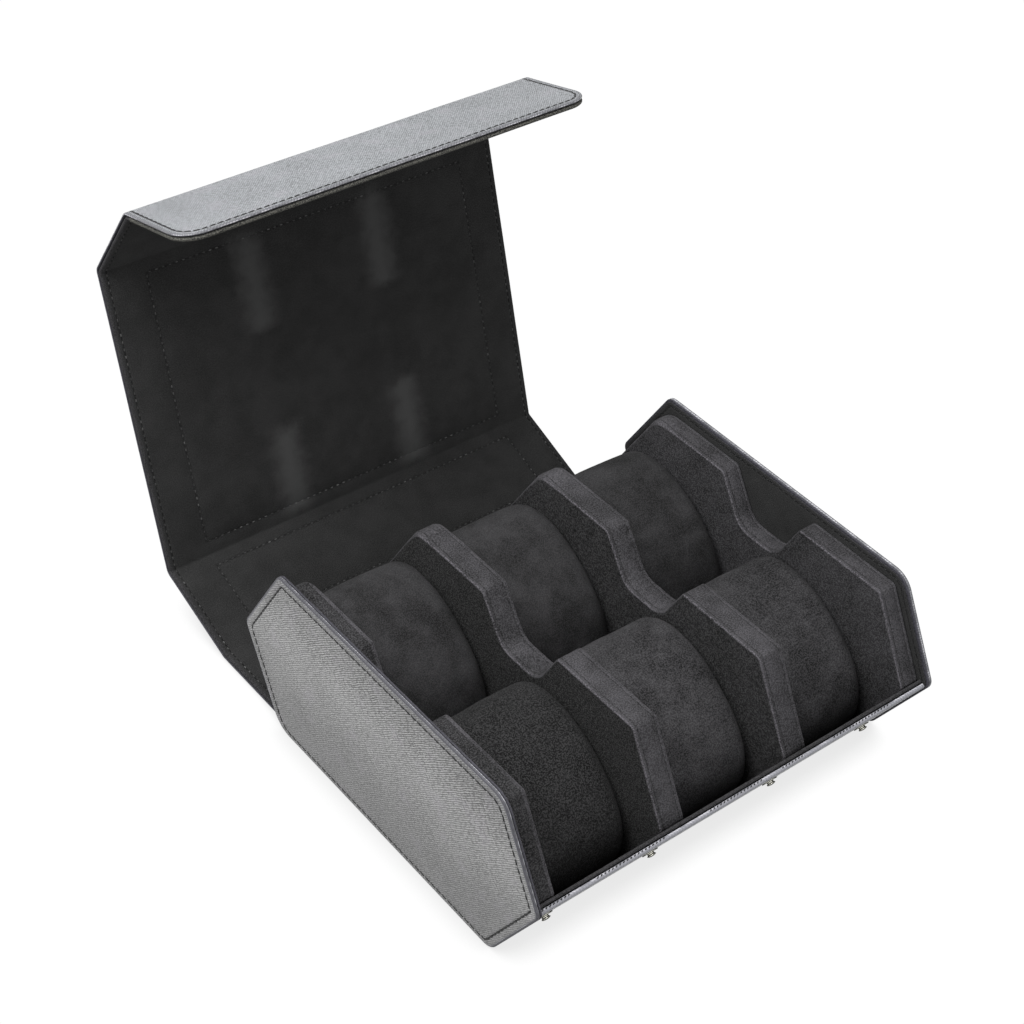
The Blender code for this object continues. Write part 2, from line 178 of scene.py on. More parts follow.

# tone round a rolled edge, from the outer face over its crest to the inner face: below 0 painted shade in a
# groove,
# 0 plain, 0.5 to 1 a smooth strip whose crest gets a painted highlight, about 1.5 dark edge paint and 2 a
# dark hem
ROLL_STEPS = 8
SUEDE_ROLL_SHARES = (0.5, 0.69, 0.85, 0.96, 1.0, 0.96, 0.85, 0.69, 0.5)
PLAIN_ROLL_SHARES = (0.5, 0.69, 0.85, 0.96, 1.0, 2.0, 2.0, 2.0, 2.0)
# the front's roll: a pale strip, which is a painted reflection, then a painted highlight towards the inside
FRONT_ROLL_SHARES = (0.5, 0.6, 0.7, 0.8, 0.86, 0.93, 0.97, 0.97, 2.0)
# on the end panels: dark edge paint outside, and a thin painted highlight on the inner half
END_ROLL_SHARES = (1.48, 1.48, 1.48, 1.48, 1.48, 0.94, 0.94, 0.9, 1.6)
HEM_ROLL_SHARES = (2.0,) * (ROLL_STEPS + 1)

# slow waves of the stiffened panels
RIPPLE_HEIGHT = 0.16 * MM
RIPPLE_ACROSS = 46 * MM
RIPPLE_ALONG = 34 * MM

# outline of the dividers, as in the part
DIVIDER_CORNER_STEPS = 8
DIVIDER_REAR_RADIUS = 9 * MM
DIVIDER_HUMP_RADIUS = 2.5 * MM
DIVIDER_FOOT_RADIUS = 1.5 * MM
DIVIDER_DIP_RADIUS = 11 * MM
DIVIDER_TOP_INSET = 7.5 * MM
DIVIDER_REAR_INSET = 6.0 * MM
DIVIDER_FRONT_UPPER_INSET = 8.0 * MM
END_DIVIDER_TOP_INSET = 5.6 * MM
END_DIVIDER_FRONT_UPPER_INSET = 5.5 * MM
DIVIDER_FRONT_LOWER_INSET = 4.7 * MM
DIVIDER_BOTTOM_INSET = 3.8 * MM
DIP_HEIGHT_SHARE = 0.68
DIP_TOP_SHARES = (0.171, -0.155)
DIP_FLOOR_SHARES = (0.069, -0.082)
DIVIDER_RIM = 0.9 * MM
DIVIDER_RIM_STEPS = 5
DIVIDER_SEAM_INSET = 2.0 * MM
DIVIDER_SEAM_DEPTH = 0.2 * MM
DIVIDER_SEAM_HALF_WIDTH = 0.35 * MM
RIM_FADE_START = 0.95
RIM_FADE_SHARE = 0.35
REAR_BULGE = 1.5 * MM
REAR_BULGE_REACH = 17 * MM
OUTLINE_STEP = 3 * MM

# painted shade on each divider's side faces, and how much darker its rim is made between the seams: darker
# below zero
DIVIDER_DARKENING = {
    "left_end_divider": (-0.9, -0.65),
    "left_divider": (-0.95, -0.1),
    "right_divider": (-0.8, 0.0),
    "right_end_divider": (-0.5, -0.15),
}

# watch cushions
COLUMNS = ("left", "middle", "right")
CUSHION_LONG = 84 * MM
CUSHION_SHORT = 53 * MM
CUSHION_TILT = math.radians(35.3)
CUSHION_CROWN = 0.4 * MM
CUSHION_EDGE = 8.5 * MM
CUSHION_AROUND = 84
CUSHION_ALONG = 22
CUSHION_EDGE_STEPS = 7
CUSHION_SWELLS = {"front": 1.0 * MM, "rear": 1.8 * MM}
SWELL_DIRECTION = Vector((0.748, 0.664))

# how much darker each cushion is made, from left to right
CUSHION_DARKENING = {"front": (0.8, 0.0, 0.05), "rear": (0.33, 0.3, 0.38)}

CUSHION_END_SHARES = (0.82, 0.6, 0.38, 0.18)
CUSHION_END_DOME = 0.5 * MM
CUSHION_END_SEAM = 0.3 * MM
CUSHION_DENT = 0.55 * MM
CUSHION_DENT_SIZE = 17 * MM
CUSHION_SEED_START = 3.7
CUSHION_SEED_STEP = 5.3

# snap fasteners
SNAP_COUNT = 4
LATHE_STEPS = 40
STUD_GAP = 0.03 * MM
STUD_FLANGE_RADIUS = 3.8 * MM
STUD_FLANGE = 0.5 * MM
STUD_NECK_RADIUS = 1.6 * MM
STUD_NECK = 0.7 * MM
STUD_HEAD_RADIUS = 2.1 * MM
STUD_HEAD = 1.0 * MM
STUD_SOFTNESS = 0.15 * MM
DOME_SHARE = 0.7
DOME_STEPS = 8
SOCKET_HOLE_RADIUS = 4.6 * MM
SOCKET_FLOOR_DEPTH = 1.12 * MM
SOCKET_GAP = 0.1 * MM
SOCKET_BORE = 2.7 * MM
SOCKET_RADIUS = 4.2 * MM
SOCKET_DEPTH = 1.3 * MM
SOCKET_LIP = 0.3 * MM
SPRING_OFFSET = 2.36 * MM
SPRING_RADIUS = 0.22 * MM

SMOOTH_ANGLE = math.radians(38)

# surfaces
HATCH_PITCH = 0.97 * MM
HATCH_ANGLES = (math.radians(51), math.radians(-44))
HATCH_DRIFT = 7 * MM
HATCH_DASH_SHARE = 2.0
EDGE_THREAD_PITCH = 1.5 * MM
EDGE_THREAD_DRIFT = 2.5 * MM
LEATHER_RELIEF = 0.1 * MM
SUEDE_RELIEF = 0.5 * MM
THREAD_RELIEF = 0.08 * MM
THREAD_TWIST = 0.3 * MM
NICKEL_MARK_SIZE = 0.8 * MM
PORE_SIZE = 0.6 * MM
CLOUD_SIZE = 24 * MM
FINE_FIBRE = 0.5 * MM
COARSE_FIBRE = 0.62 * MM
THREAD_PATCH_SIZE = 8 * MM
# heights of the painted light on the end panels, and of the painted shade in their hatch near the top
PAINTED_LIGHT_LOW = 16 * MM
PAINTED_LIGHT_MIDDLE = 62 * MM
PAINTED_LIGHT_HIGH = 84 * MM
PAINTED_HATCH_SHADE_LOW = 56 * MM
PAINTED_HATCH_SHADE_HIGH = 76 * MM
STROKE_SIZE = 9 * MM
PATCH_SIZE = 30 * MM

# colours, each a grey level with the strength of its red, green and blue, all 1 where none is given
VALLEY_LEVEL = 0.075
RIDGE_LEVEL = 0.335
BLOOM = (0.24, 1.03, 0.96, 1.08)
STRIP_TINTS = ((0.96, 0.97, 1.07), (0.96, 0.97, 1.06))
# painted highlight on the crests of rolled edges
PAINTED_GLINT = (0.72, 0.98, 0.97, 1.04)
HEM_DARK = (0.012, 0.95, 0.9, 1.25)
HEM_LIGHT = (0.045, 0.95, 0.92, 1.2)
# painted shade down in grooves
GROOVE_SHADE_LEVEL = 0.03
LINING_DARK = (0.011,)
LINING_LIGHT = (0.04,)
LINING_RIM = (0.05, 1.0, 0.97, 1.06)
FLAP_LINING_RIM = (0.15, 1.0, 0.98, 0.86)
MARK_LEVEL = 0.066

# suedes: dark and light fibres, the rim (on the dividers partly a painted highlight), how much the grain
# shows, and the fibres' size
SUEDES = {
    "divider": ((0.009,), (0.09, 1.01, 0.975, 1.06), (0.125, 1.02, 0.97, 1.08), 0.58, COARSE_FIBRE),
    "front_cushion": ((0.001,), (0.068, 1.01, 0.985, 1.04), (0.08,), 0.62, COARSE_FIBRE),
    "rear_cushion": ((0.007,), (0.062, 1.01, 0.985, 1.04), (0.08,), 0.4, FINE_FIBRE),
}

# marks of the dividers on the lid: their place, soft edge, and runs where they start and fade
DIVIDER_X = 34.65 * MM
MARK_HALF_WIDTH = 13 * MM
MARK_EDGE_SIZE = 6 * MM
MARK_EDGE_SHIFT = 8 * MM
REAR_MARK_RUNS = (0.0, 8 * MM, 42 * MM, 52 * MM)
FRONT_MARK_RUNS = (95 * MM, 101 * MM, 138 * MM, 148 * MM)

# stage
FLOOR_HALF = 2.0
FLOOR_DROP = 0.3 * MM
FLOOR_SHADE = 0.15
SHADOW_REACH = 22 * MM
WORLD_LIGHT = 0.45
LAMP_SIZE = 0.9

# place, target and power of each lamp
LAMPS = {
    "top_softbox": ((-0.45, 0.15, 1.08), (0, 0.05, 0.05), 16.5),
    "front_softbox": ((-0.35, -1.3, 0.8), (0, 0.15, 0.1), 7),
}


def along(angle):
    """Unit vector (y, z) along a panel of the wrap that rises at this angle."""
    return Vector((math.cos(angle), math.sin(angle)))


def inward(angle):
    """Unit vector (y, z) from the outside of such a panel to its lining."""
    return Vector((-math.sin(angle), math.cos(angle)))


def arc_points(centre, radius, start, end, steps):
    """Points on an arc in a plane, both ends included."""
    angles = [start + (end - start) * i / steps for i in range(steps + 1)]
    return [centre + Vector((math.cos(a), math.sin(a))) * radius for a in angles]


def grid_lines(marks, longest):
    """The marks with even steps between them, none longer than the given one."""
    lines = [marks[0]]
    for low, high in zip(marks, marks[1:]):
        count = max(1, math.ceil((high - low) / longest))
        lines += [low + (high - low) * i / count for i in range(1, count + 1)]
    return lines


# Meshes

class Piece:
    """A mesh under construction, whose points keep their place on the flat sheet, their tone and painted
    light.
    """

    def __init__(self, name):
        self.name = name
        self.mesh = bmesh.new()
        self.sheet = self.mesh.verts.layers.float_vector.new("sheet")
        self.tone_and_painted_light = self.mesh.verts.layers.float.new("tone_and_painted_light")

    def point(self, place, sheet=None, tone_and_painted_light=0.0):
        vertex = self.mesh.verts.new(place)
        vertex[self.sheet] = place if sheet is None else sheet
        vertex[self.tone_and_painted_light] = tone_and_painted_light
        return vertex

    def bridge(self, near, far, closed=True):
        """Faces between two rows of equally many vertices."""
        count = len(near)
        for i in range(count if closed else count - 1):
            j = (i + 1) % count
            self.mesh.faces.new((near[i], near[j], far[j], far[i]))

    def loft(self, rings, endless=False):
        """A closed solid through rings of (place, sheet, tone and painted light), its ends filled or joined.
        """
        loops = [[self.point(*entry) for entry in ring] for ring in rings]
        for near, far in zip(loops, [*loops[1:], loops[0]] if endless else loops[1:]):
            self.bridge(near, far)
        if not endless:
            self.mesh.faces.new(loops[0][::-1])
            self.mesh.faces.new(loops[-1])

    def finish(self, materials, slot=None):
        bmesh.ops.recalc_face_normals(self.mesh, faces=self.mesh.faces)
        data = bpy.data.meshes.new(self.name)
        self.mesh.to_mesh(data)
        self.mesh.free()
        for material in materials:
            data.materials.append(material)
        data.shade_smooth()
        data.set_sharp_from_angle(angle=SMOOTH_ANGLE)
        thing = bpy.data.objects.new(self.name, data)
        bpy.context.scene.collection.objects.link(thing)
        return thing


def groove_points(inset, depth, half_width, face, sign, tone_and_painted_light):
    """Cross-section of a groove, from its inner to its outer lip, as (inset, depth, tone and painted light),
    with painted shade down in the groove.
    """
    shares = ((1.0, 0.0, 0.0), (0.5, 0.65, -0.7), (0.0, 1.0, -1.0), (-0.5, 0.65, -0.7), (-1.0, 0.0, tone_and_painted_light))
    return [(inset + half_width * side, face + sign * depth * sink, dark) for side, sink, dark in shares]


def slab_profile(
    top, thickness, setback, outer_grooves=(), inner_grooves=(), bead=0.0, roll=SUEDE_ROLL_SHARES,
):
    """Half the cross-section of a sheet with a rolled edge, as (inset, depth, tone and painted light).

    It starts on the outer face, goes round the roll and ends on the inner face. A groove is
    (inset, depth, half width), the one farthest from the edge first. A bead thickens the roll
    towards the inside. The tone is -1 in a groove, which is painted shade there, and 0 on the
    plain faces; the roll has its own.
    """
    radius = (thickness + bead) / 2
    middle = top + radius
    profile = [(FIELD_INSET, top, 0.0)]
    for inset, depth, half_width in outer_grooves:
        profile += groove_points(inset, depth, half_width, top, 1, 0.5)
    profile += roll_points(setback, radius, middle, roll)
    for inset, depth, half_width in reversed(inner_grooves):
        profile += groove_points(inset, depth, half_width, top + thickness, -1, 0.3)[::-1]
    profile.append((FIELD_INSET, top + thickness, 0.0))
    return profile


def roll_points(setback, radius, middle, roll):
    """A half-round edge from the outer to the inner face, as (inset, depth, tone and painted light)."""
    points = []
    for i, tone_and_painted_light in enumerate(roll):
        turn = math.pi * i / ROLL_STEPS
        points.append((setback + radius * (1 - math.sin(turn)), middle - radius * math.cos(turn), tone_and_painted_light))
    return points


STITCH_GROOVE = (STITCH_INSET, GROOVE_DEPTH, GROOVE_HALF_WIDTH)
EDGE_GROOVE = (EDGE_SEAM_INSET, FINE_GROOVE_DEPTH, FINE_GROOVE_HALF_WIDTH)
INNER_THREAD_DEPTH = WALL - LINING_STITCH_RADIUS * 0.6


def skin_profile(edge):
    """The leather's cross-section, its roll as thick as the given edge."""
    return slab_profile(0.0, edge, 0.0, (STITCH_GROOVE, EDGE_GROOVE), roll=PLAIN_ROLL_SHARES)


def end_face_profile():
    """The leather face of an end panel: puckered field, seam, painted edge."""
    inset = END_STITCH_INSET
    profile = [(inner, 0.0, 0.0) for inner in PUCKER_INSETS]
    profile.append((END_FIELD_INSET, 0.0, 0.0))
    profile += groove_points(inset, GROOVE_DEPTH, GROOVE_HALF_WIDTH, 0.0, 1, 0.0)
    profile.append((END_PAINT_INSET, 0.0, 0.0))
    profile += roll_points(0.0, END_FACE / 2, END_FACE / 2, END_ROLL_SHARES)
    profile.append((END_FIELD_INSET, END_FACE, 0.0))
    return profile


def lining_profile(edge, bead=0.0):
    """The lining's cross-section above a leather roll of the given thickness."""
    top = edge + LAYER_GAP
    return slab_profile(top, WALL - top, LINING_SETBACK, (), (STITCH_GROOVE,), bead)


def edge_at(fold, run):
    """How thick the leather's roll is: thin along the panels, full round the flap."""
    if fold.bodies is None or fold.bodies[1] != "flap":
        return SIDE_SKIN
    share = min(1.0, max(0.0, (run + BLEND_REACH) / (2 * BLEND_REACH)))
    return SIDE_SKIN + (SKIN - SIDE_SKIN) * share


# Threads

def add_stitch(piece, start, end, radius, material_index):
    """One stitch: a short thread with drawn-in ends."""
    axis = (end - start).normalized()
    side = axis.orthogonal().normalized()
    other = axis.cross(side)
    turns = [math.tau * i / STITCH_SIDES for i in range(STITCH_SIDES)]
    ways = [side * math.cos(turn) + other * math.sin(turn) for turn in turns]
    faces_before = len(piece.mesh.faces)
    piece.loft([
        [(start.lerp(end, share) + way * radius * swell,) for way in ways]
        for share, swell in STITCH_SHARES
    ])
    piece.mesh.faces.ensure_lookup_table()
    for face in piece.mesh.faces[faces_before:]:
        face.material_index = material_index


def add_stitches(piece, path, pitch, length, radius, facing=None, material_index=0):
    """A row of stitches along a path; they slant a little on a sheet that faces the given way."""
    reached = [0.0]
    for a, b in zip(path, path[1:]):
        reached.append(reached[-1] + (b - a).length)
    count = max(1, round(reached[-1] / pitch))
    spacing = reached[-1] / count

    def place_at(distance):
        k = 0
        while k < len(reached) - 2 and reached[k + 1] < distance:
            k += 1
        share = (distance - reached[k]) / (reached[k + 1] - reached[k])
        return path[k].lerp(path[k + 1], share)

    for i in range(count):
        middle = (i + 0.5) * spacing
        start = place_at(middle - length / 2)
        end = place_at(middle + length / 2)
        if facing is not None:
            sideways = (end - start).cross(facing).normalized() * STITCH_SLANT
            start -= sideways
            end += sideways
        add_stitch(piece, start, end, radius, material_index)


def add_outer_row(piece, path, facing):
    """Dark thread on the leather, slanting on a sheet that faces the given way."""
    add_stitches(piece, path, STITCH_PITCH, STITCH_LENGTH, STITCH_RADIUS, facing)


def add_lining_row(piece, path, material_index=1):
    """Small stitches on the lining."""
    sizes = (LINING_STITCH_PITCH, LINING_STITCH_LENGTH, LINING_STITCH_RADIUS)
    add_stitches(piece, path, *sizes, None, material_index)


# The wrap: geometry of its folds

class Fold:
    """A fold line across the wrap: its place, the panels' directions and how far the sheet goes."""

    def __init__(self, name, place, before, after, start, end, run, bodies):
        self.name = name
        self.place = place
        self.before = before
        self.after = after
        self.start = start
        self.end = end
        self.run = run
        self.bodies = bodies
        self.reach = FOLD_CENTRE * math.tan((after - before) / 2)

    def at(self, run, depth):
        """(y, z) of the sheet at a run from the fold line and a depth from the outer face."""
        if run <= -self.reach:
            return self.place + along(self.before) * run + inward(self.before) * depth
        if run >= self.reach:
            return self.place + along(self.after) * run + inward(self.after) * depth
        share = (run + self.reach) / (2 * self.reach)
        angle = self.before + (self.after - self.before) * share
        centre = self.place - along(self.before) * self.reach + inward(self.before) * FOLD_CENTRE
        return centre - inward(angle) * (FOLD_CENTRE - depth)

    def point(self, x, run, depth):
        ripple = ripple_at(x, self.run + run)
        y, z = self.at(run, depth + ripple)
        return Vector((x, y, z))


def ripple_at(x, run):
    """Slow waves of the cover's panels, which fade out towards the case."""
    fade = min(1.0, max(0.0, (run - RIPPLE_START) / RIPPLE_ALONG))
    spot = Vector((x / RIPPLE_ACROSS, run / RIPPLE_ALONG, 0.5))
    return RIPPLE_HEIGHT * fade * noise.noise(spot)


def read_folds():
    """The five folds of the cover and the base corner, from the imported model's joints."""
    joints = {joint["name"]: joint for joint in frame["joints"]}
    hinges = [joints[name] for name in FOLD_JOINTS]
    places = [Vector(joint["pos_m"][1:]) for joint in hinges]
    angles = [0.0]
    for joint in hinges:
        angles.append(angles[-1] + math.radians(joint["range_deg"][1]))
    front_low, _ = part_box("front_leather")
    base_low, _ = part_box("base_leather")
    base_corner = Vector((base_low.y - BASE_CORNER_GAP, 0.0))
    front_length = (base_corner.x - front_low.y) / math.cos(SLOPE_ANGLE)
    flap_end = max(
        (Vector(v.co.yz) - places[-1]).dot(along(angles[-1]))
        for v in frame["nodes"]["flap_leather"].data.vertices
    )
    lengths = [(b - a).length for a, b in zip([base_corner, *places], places)]
    lengths.append(flap_end)
    corner = Fold(
        "base_corner", base_corner, -SLOPE_ANGLE, 0.0, front_length, lengths[0] / 2, front_length, None,
    )
    folds = []
    run = front_length
    for i, joint in enumerate(hinges):
        run += lengths[i]
        last = i == len(hinges) - 1
        end = BLEND_REACH if last else lengths[i + 1] / 2
        bodies = (joint["parent"], joint["child"])
        turn = angles[i:i + 2]
        folds.append(Fold(joint["name"], places[i], *turn, lengths[i] / 2, end, run, bodies))
    return corner, folds, flap_end


base_fold, cover_folds, FLAP_LENGTH = read_folds()
RIPPLE_START = cover_folds[1].run
lid_fold = cover_folds[2]
flap_fold = cover_folds[-1]


def panel_seam(x, run, fold):
    """How deep the stitched rectangle of each panel's lining sinks in, from 0 to 1."""
    if fold.bodies[0 if run < 0 else 1] in PANELS_WITHOUT_SEAM:
        return 0.0
    left, right = PANEL_SEAM_XS
    across = min(abs(x - left), abs(x - right)) if abs(run) >= PANEL_SEAM_RUN else math.inf
    down = abs(abs(run) - PANEL_SEAM_RUN) if left <= x <= right else math.inf
    return max(0.0, 1 - min(across, down) / PANEL_SEAM_HALF_WIDTH)


def across_lines():
    """X places of the grid on the wrap's faces, between its stitched edges."""
    field = HALF_WIDTH - FIELD_INSET
    seams = [x + PANEL_SEAM_HALF_WIDTH * side for x in PANEL_SEAM_XS for side in (-1, 0, 1)]
    return grid_lines([-field, *seams, field], COARSE_STEP)[1:-1]


def run_lines(fold):
    """Runs of the grid: fine in the bend and at the stitched lines, coarse on the flat."""
    seam = [PANEL_SEAM_RUN + PANEL_SEAM_HALF_WIDTH * side for side in (-1, 0, 1)]
    before = [-fold.start, *[-run for run in reversed(seam)], -BLEND_REACH]
    after = [BLEND_REACH, *seam, fold.end]
    lines = grid_lines(before, COARSE_STEP)[:-1]
    lines += grid_lines((-BLEND_REACH, BLEND_REACH), FINE_STEP)
    if fold.end > BLEND_REACH:
        lines += grid_lines(after, COARSE_STEP)[1:]
    return lines


def sheet_ring(fold, run, profile, sunk=False):
    """One cross-section of the wrap at a run, as (place, sheet, tone and painted light) all round."""
    ring = [(x, profile[0][1], 0.0) for x in across_lines()]
    ring += [(HALF_WIDTH - inset, depth, tone_and_painted_light) for inset, depth, tone_and_painted_light in profile]
    for x in reversed(across_lines()):
        seam = panel_seam(x, run, fold) if sunk else 0.0
        # the lining sinks in along its stitched seams, with painted shade in them
        ring.append((x, profile[-1][1] - PANEL_SEAM_DEPTH * seam, PANEL_SEAM_PAINTED_SHADE * seam))
    ring += [(inset - HALF_WIDTH, depth, tone_and_painted_light) for inset, depth, tone_and_painted_light in reversed(profile)]
    return [
        (fold.point(x, run, depth), Vector((x, fold.run + run, depth)), tone_and_painted_light)
        for x, depth, tone_and_painted_light in ring
    ]


def blend_over(thing):
    """Bake the piece's placement into its mesh."""
    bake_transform(thing)


def add_fold_threads(fold, materials):
    """Dark thread outside and light thread inside, along both edges and round the panels."""
    piece = Piece(f"{fold.name}_thread")
    runs = grid_lines((-fold.start, fold.end), PATH_STEP)
    for side in (-1, 1):
        x = side * (HALF_WIDTH - STITCH_INSET)
        for start, end, angle in ((-fold.start, 0.0, fold.before), (0.0, fold.end, fold.after)):
            rows = grid_lines((start, end), PATH_STEP)
            outer = [fold.point(x, run, STITCH_SEAT) for run in rows]
            add_outer_row(piece, outer, Vector((0, *inward(angle))))
        add_lining_row(piece, [fold.point(x, run, INNER_THREAD_DEPTH) for run in runs])
    halves = ((-fold.start, -PANEL_SEAM_RUN), (PANEL_SEAM_RUN, fold.end))
    for (low, high), body in zip(halves, fold.bodies):
        if body in PANELS_WITHOUT_SEAM:
            continue
        for x in PANEL_SEAM_XS:
            rows = grid_lines((low, high), PATH_STEP)
            add_lining_row(piece, [fold.point(x, run, INNER_THREAD_DEPTH) for run in rows])
        run = -PANEL_SEAM_RUN if high < 0 else PANEL_SEAM_RUN
        xs = grid_lines(PANEL_SEAM_XS, COARSE_STEP)
        add_lining_row(piece, [fold.point(x, run, INNER_THREAD_DEPTH) for x in xs])
    return piece.finish(materials)


def build_cover(materials):
    """The skin, lining and thread of the wrap at each of the cover's folds."""
    names = ("back_lower", "back_upper", "lid", "front_upper", None)
    for fold, panel in zip(cover_folds, names):
        threads = add_fold_threads(fold, (materials["dark_thread"], materials["light_thread"]))
        runs = run_lines(fold)
        skin = Piece(f"{fold.name}_skin")
        skin.loft([sheet_ring(fold, run, skin_profile(edge_at(fold, run))) for run in runs])
        skin = skin.finish([materials["leather"]], "leather")
        lining = Piece(f"{fold.name}_lining")
        lining.loft([sheet_ring(fold, run, lining_profile(edge_at(fold, run)), True) for run in runs])
        lining = lining.finish([materials["lining"]], "suede")
        if panel:
            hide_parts(f"{panel}_leather", f"{panel}_board")
            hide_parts(f"{panel}_lining")
        for thing in (skin, lining, threads):
            blend_over(thing)


def front_section(profile):
    """Outline of the fixed front and the base across the case, as (run, depth, tone and painted light)."""
    top, bottom = profile[0][1], profile[-1][1]
    marks = (-base_fold.start + FIELD_INSET, -BLEND_REACH)
    flat = grid_lines(marks, COARSE_STEP) + grid_lines((-BLEND_REACH, BLEND_REACH), FINE_STEP)[1:]
    flat += grid_lines((BLEND_REACH, base_fold.end), COARSE_STEP)[1:]
    outer = [(run, top, 0.0) for run in reversed(flat[1:])]
    edge = [(inset - base_fold.start, depth, tone_and_painted_light) for inset, depth, tone_and_painted_light in profile]
    inner = [(run, bottom, 0.0) for run in flat[1:]]
    return outer + edge + inner


def build_front(materials):
    """The fixed front and the front half of the base, which never move."""
    xs = grid_lines((-HALF_WIDTH, HALF_WIDTH), COARSE_STEP)
    for name, profile, material, slot in (
        ("front_skin", slab_profile(0.0, FRONT_SKIN, 0.0, (STITCH_GROOVE,), roll=FRONT_ROLL_SHARES),
         "front_leather", "leather"),
        ("front_lining", lining_profile(FRONT_SKIN, FRONT_BEAD), "lining", "suede"),
    ):
        section = front_section(profile)
        piece = Piece(name)
        piece.loft([
            [
                (Vector((x, *base_fold.at(run, depth))), Vector((x, base_fold.run + run, depth)), tone_and_painted_light)
                for run, depth, tone_and_painted_light in section
            ]
            for x in xs
        ])
        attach(piece.finish([materials[material]], slot), "case_body")
    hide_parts("front_leather", "front_board", "base_leather", "base_board")
    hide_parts("front_lining", "base_lining")
    threads = Piece("front_thread")
    run = STITCH_INSET - base_fold.start
    ends = grid_lines((-HALF_WIDTH, HALF_WIDTH), COARSE_STEP)
    outer = [Vector((x, *base_fold.at(run, DEEP_STITCH_SEAT))) for x in ends]
    add_outer_row(threads, outer, Vector((0, *inward(-SLOPE_ANGLE))))
    across = Vector((0, *along(-SLOPE_ANGLE)))
    y, z = base_fold.at(STITCH_SEAT - base_fold.start, FRONT_SEAM_DEPTH)
    for start, end in FRONT_THREAD_SHARES:
        crest = [Vector((HALF_WIDTH * (2 * share - 1), y, z)) for share in (start, end)]
        add_stitches(threads, crest, FRONT_STITCH_PITCH, FRONT_STITCH_LENGTH, FRONT_STITCH_RADIUS, across)
    add_lining_row(threads, [Vector((x, *base_fold.at(run, INNER_THREAD_DEPTH))) for x in ends])
    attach(threads.finish([materials["dark_thread"], materials["light_thread"]]), "case_body")


# The flap

def flap_path(inset):
    """(x, run) round the flap's free edges at an inset, from its left side to its right."""
    radius = FLAP_RADIUS - inset
    corner_x = HALF_WIDTH - FLAP_RADIUS
    corner_run = FLAP_LENGTH - FLAP_RADIUS
    side_runs = grid_lines((BLEND_REACH, corner_run), COARSE_STEP)
    left = [Vector((inset - HALF_WIDTH, run)) for run in side_runs]
    left += arc_points(Vector((-corner_x, corner_run)), radius, math.pi, math.pi / 2, FLAP_CORNER_STEPS)[1:]
    middle = [Vector((x, FLAP_LENGTH - inset)) for x in grid_lines((-corner_x, corner_x), COARSE_STEP)[1:-1]]
    right = [Vector((-p.x, p.y)) for p in reversed(left)]
    return left + middle + right


def flap_solid(piece, profile):
    """A closed sheet with a rolled edge on three sides and gridded faces."""
    rows = len(grid_lines((BLEND_REACH, FLAP_LENGTH - FLAP_RADIUS), COARSE_STEP))
    loops = []
    for inset, depth, tone_and_painted_light in profile:
        loop = []
        for x, run in flap_path(inset):
            sheet = Vector((x, flap_fold.run + run, depth))
            loop.append(piece.point(flap_fold.point(x, run, depth), sheet, tone_and_painted_light))
        loops.append(loop)
    for near, far in zip(loops, loops[1:]):
        piece.bridge(near, far, closed=False)
    feet = []
    for loop, (_, depth, _) in ((loops[0], profile[0]), (loops[-1], profile[-1])):
        columns = [loop[:rows]]
        for top in loop[rows:-rows]:
            x, top_run, _ = top[piece.sheet]
            top_run -= flap_fold.run
            column = []
            for j in range(rows - 1):
                run = BLEND_REACH + (top_run - BLEND_REACH) * j / (rows - 1)
                sheet = Vector((x, flap_fold.run + run, depth))
                column.append(piece.point(flap_fold.point(x, run, depth), sheet))
            columns.append([*column, top])
        columns.append(loop[-rows:][::-1])
        for near, far in zip(columns, columns[1:]):
            piece.bridge(near, far, closed=False)
        feet.append([column[0] for column in columns])
    rim_left = [loop[0] for loop in loops[1:-1]]
    rim_right = [loop[-1] for loop in loops[1:-1]]
    piece.mesh.faces.new([*feet[0], *rim_right, *feet[1][::-1], *rim_left[::-1]])


def run_of(centre, fold, angle):
    """How far a place is from a fold, on the panel that rises at this angle."""
    return (Vector(centre.yz) - fold.place).dot(along(angle))


def cut_socket_holes(thing):
    """Round holes through the lining and into the skin, where the sockets sit."""
    holes = bmesh.new()
    turn = Matrix.Rotation(flap_fold.after, 4, "X")
    middle = (SOCKET_FLOOR_DEPTH + 2 * WALL) / 2
    for i in range(SNAP_COUNT):
        low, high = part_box(f"snap_socket_{i + 1}")
        centre = (low + high) / 2
        place = flap_fold.at(run_of(centre, flap_fold, flap_fold.after), middle)
        bmesh.ops.create_cone(
            holes, cap_ends=True, segments=LATHE_STEPS,
            radius1=SOCKET_HOLE_RADIUS, radius2=SOCKET_HOLE_RADIUS, depth=2 * WALL - SOCKET_FLOOR_DEPTH,
            matrix=Matrix.Translation((centre.x, *place)) @ turn,
        )
    data = bpy.data.meshes.new("socket_hole_cutter")
    holes.to_mesh(data)
    holes.free()
    cutter = bpy.data.objects.new("socket_hole_cutter", data)
    bpy.context.scene.collection.objects.link(cutter)
    cut = thing.modifiers.new("socket holes", "BOOLEAN")
    cut.object = cutter
    cut.operation = "DIFFERENCE"
    apply_modifiers(thing)
    bpy.data.objects.remove(cutter)


def apply_modifiers(thing):
    """Put the mesh as its modifiers leave it in place of the plain one."""
    graph = bpy.context.evaluated_depsgraph_get()
    graph.update()
    data = bpy.data.meshes.new_from_object(thing.evaluated_get(graph))
    thing.modifiers.clear()
    thing.data = data


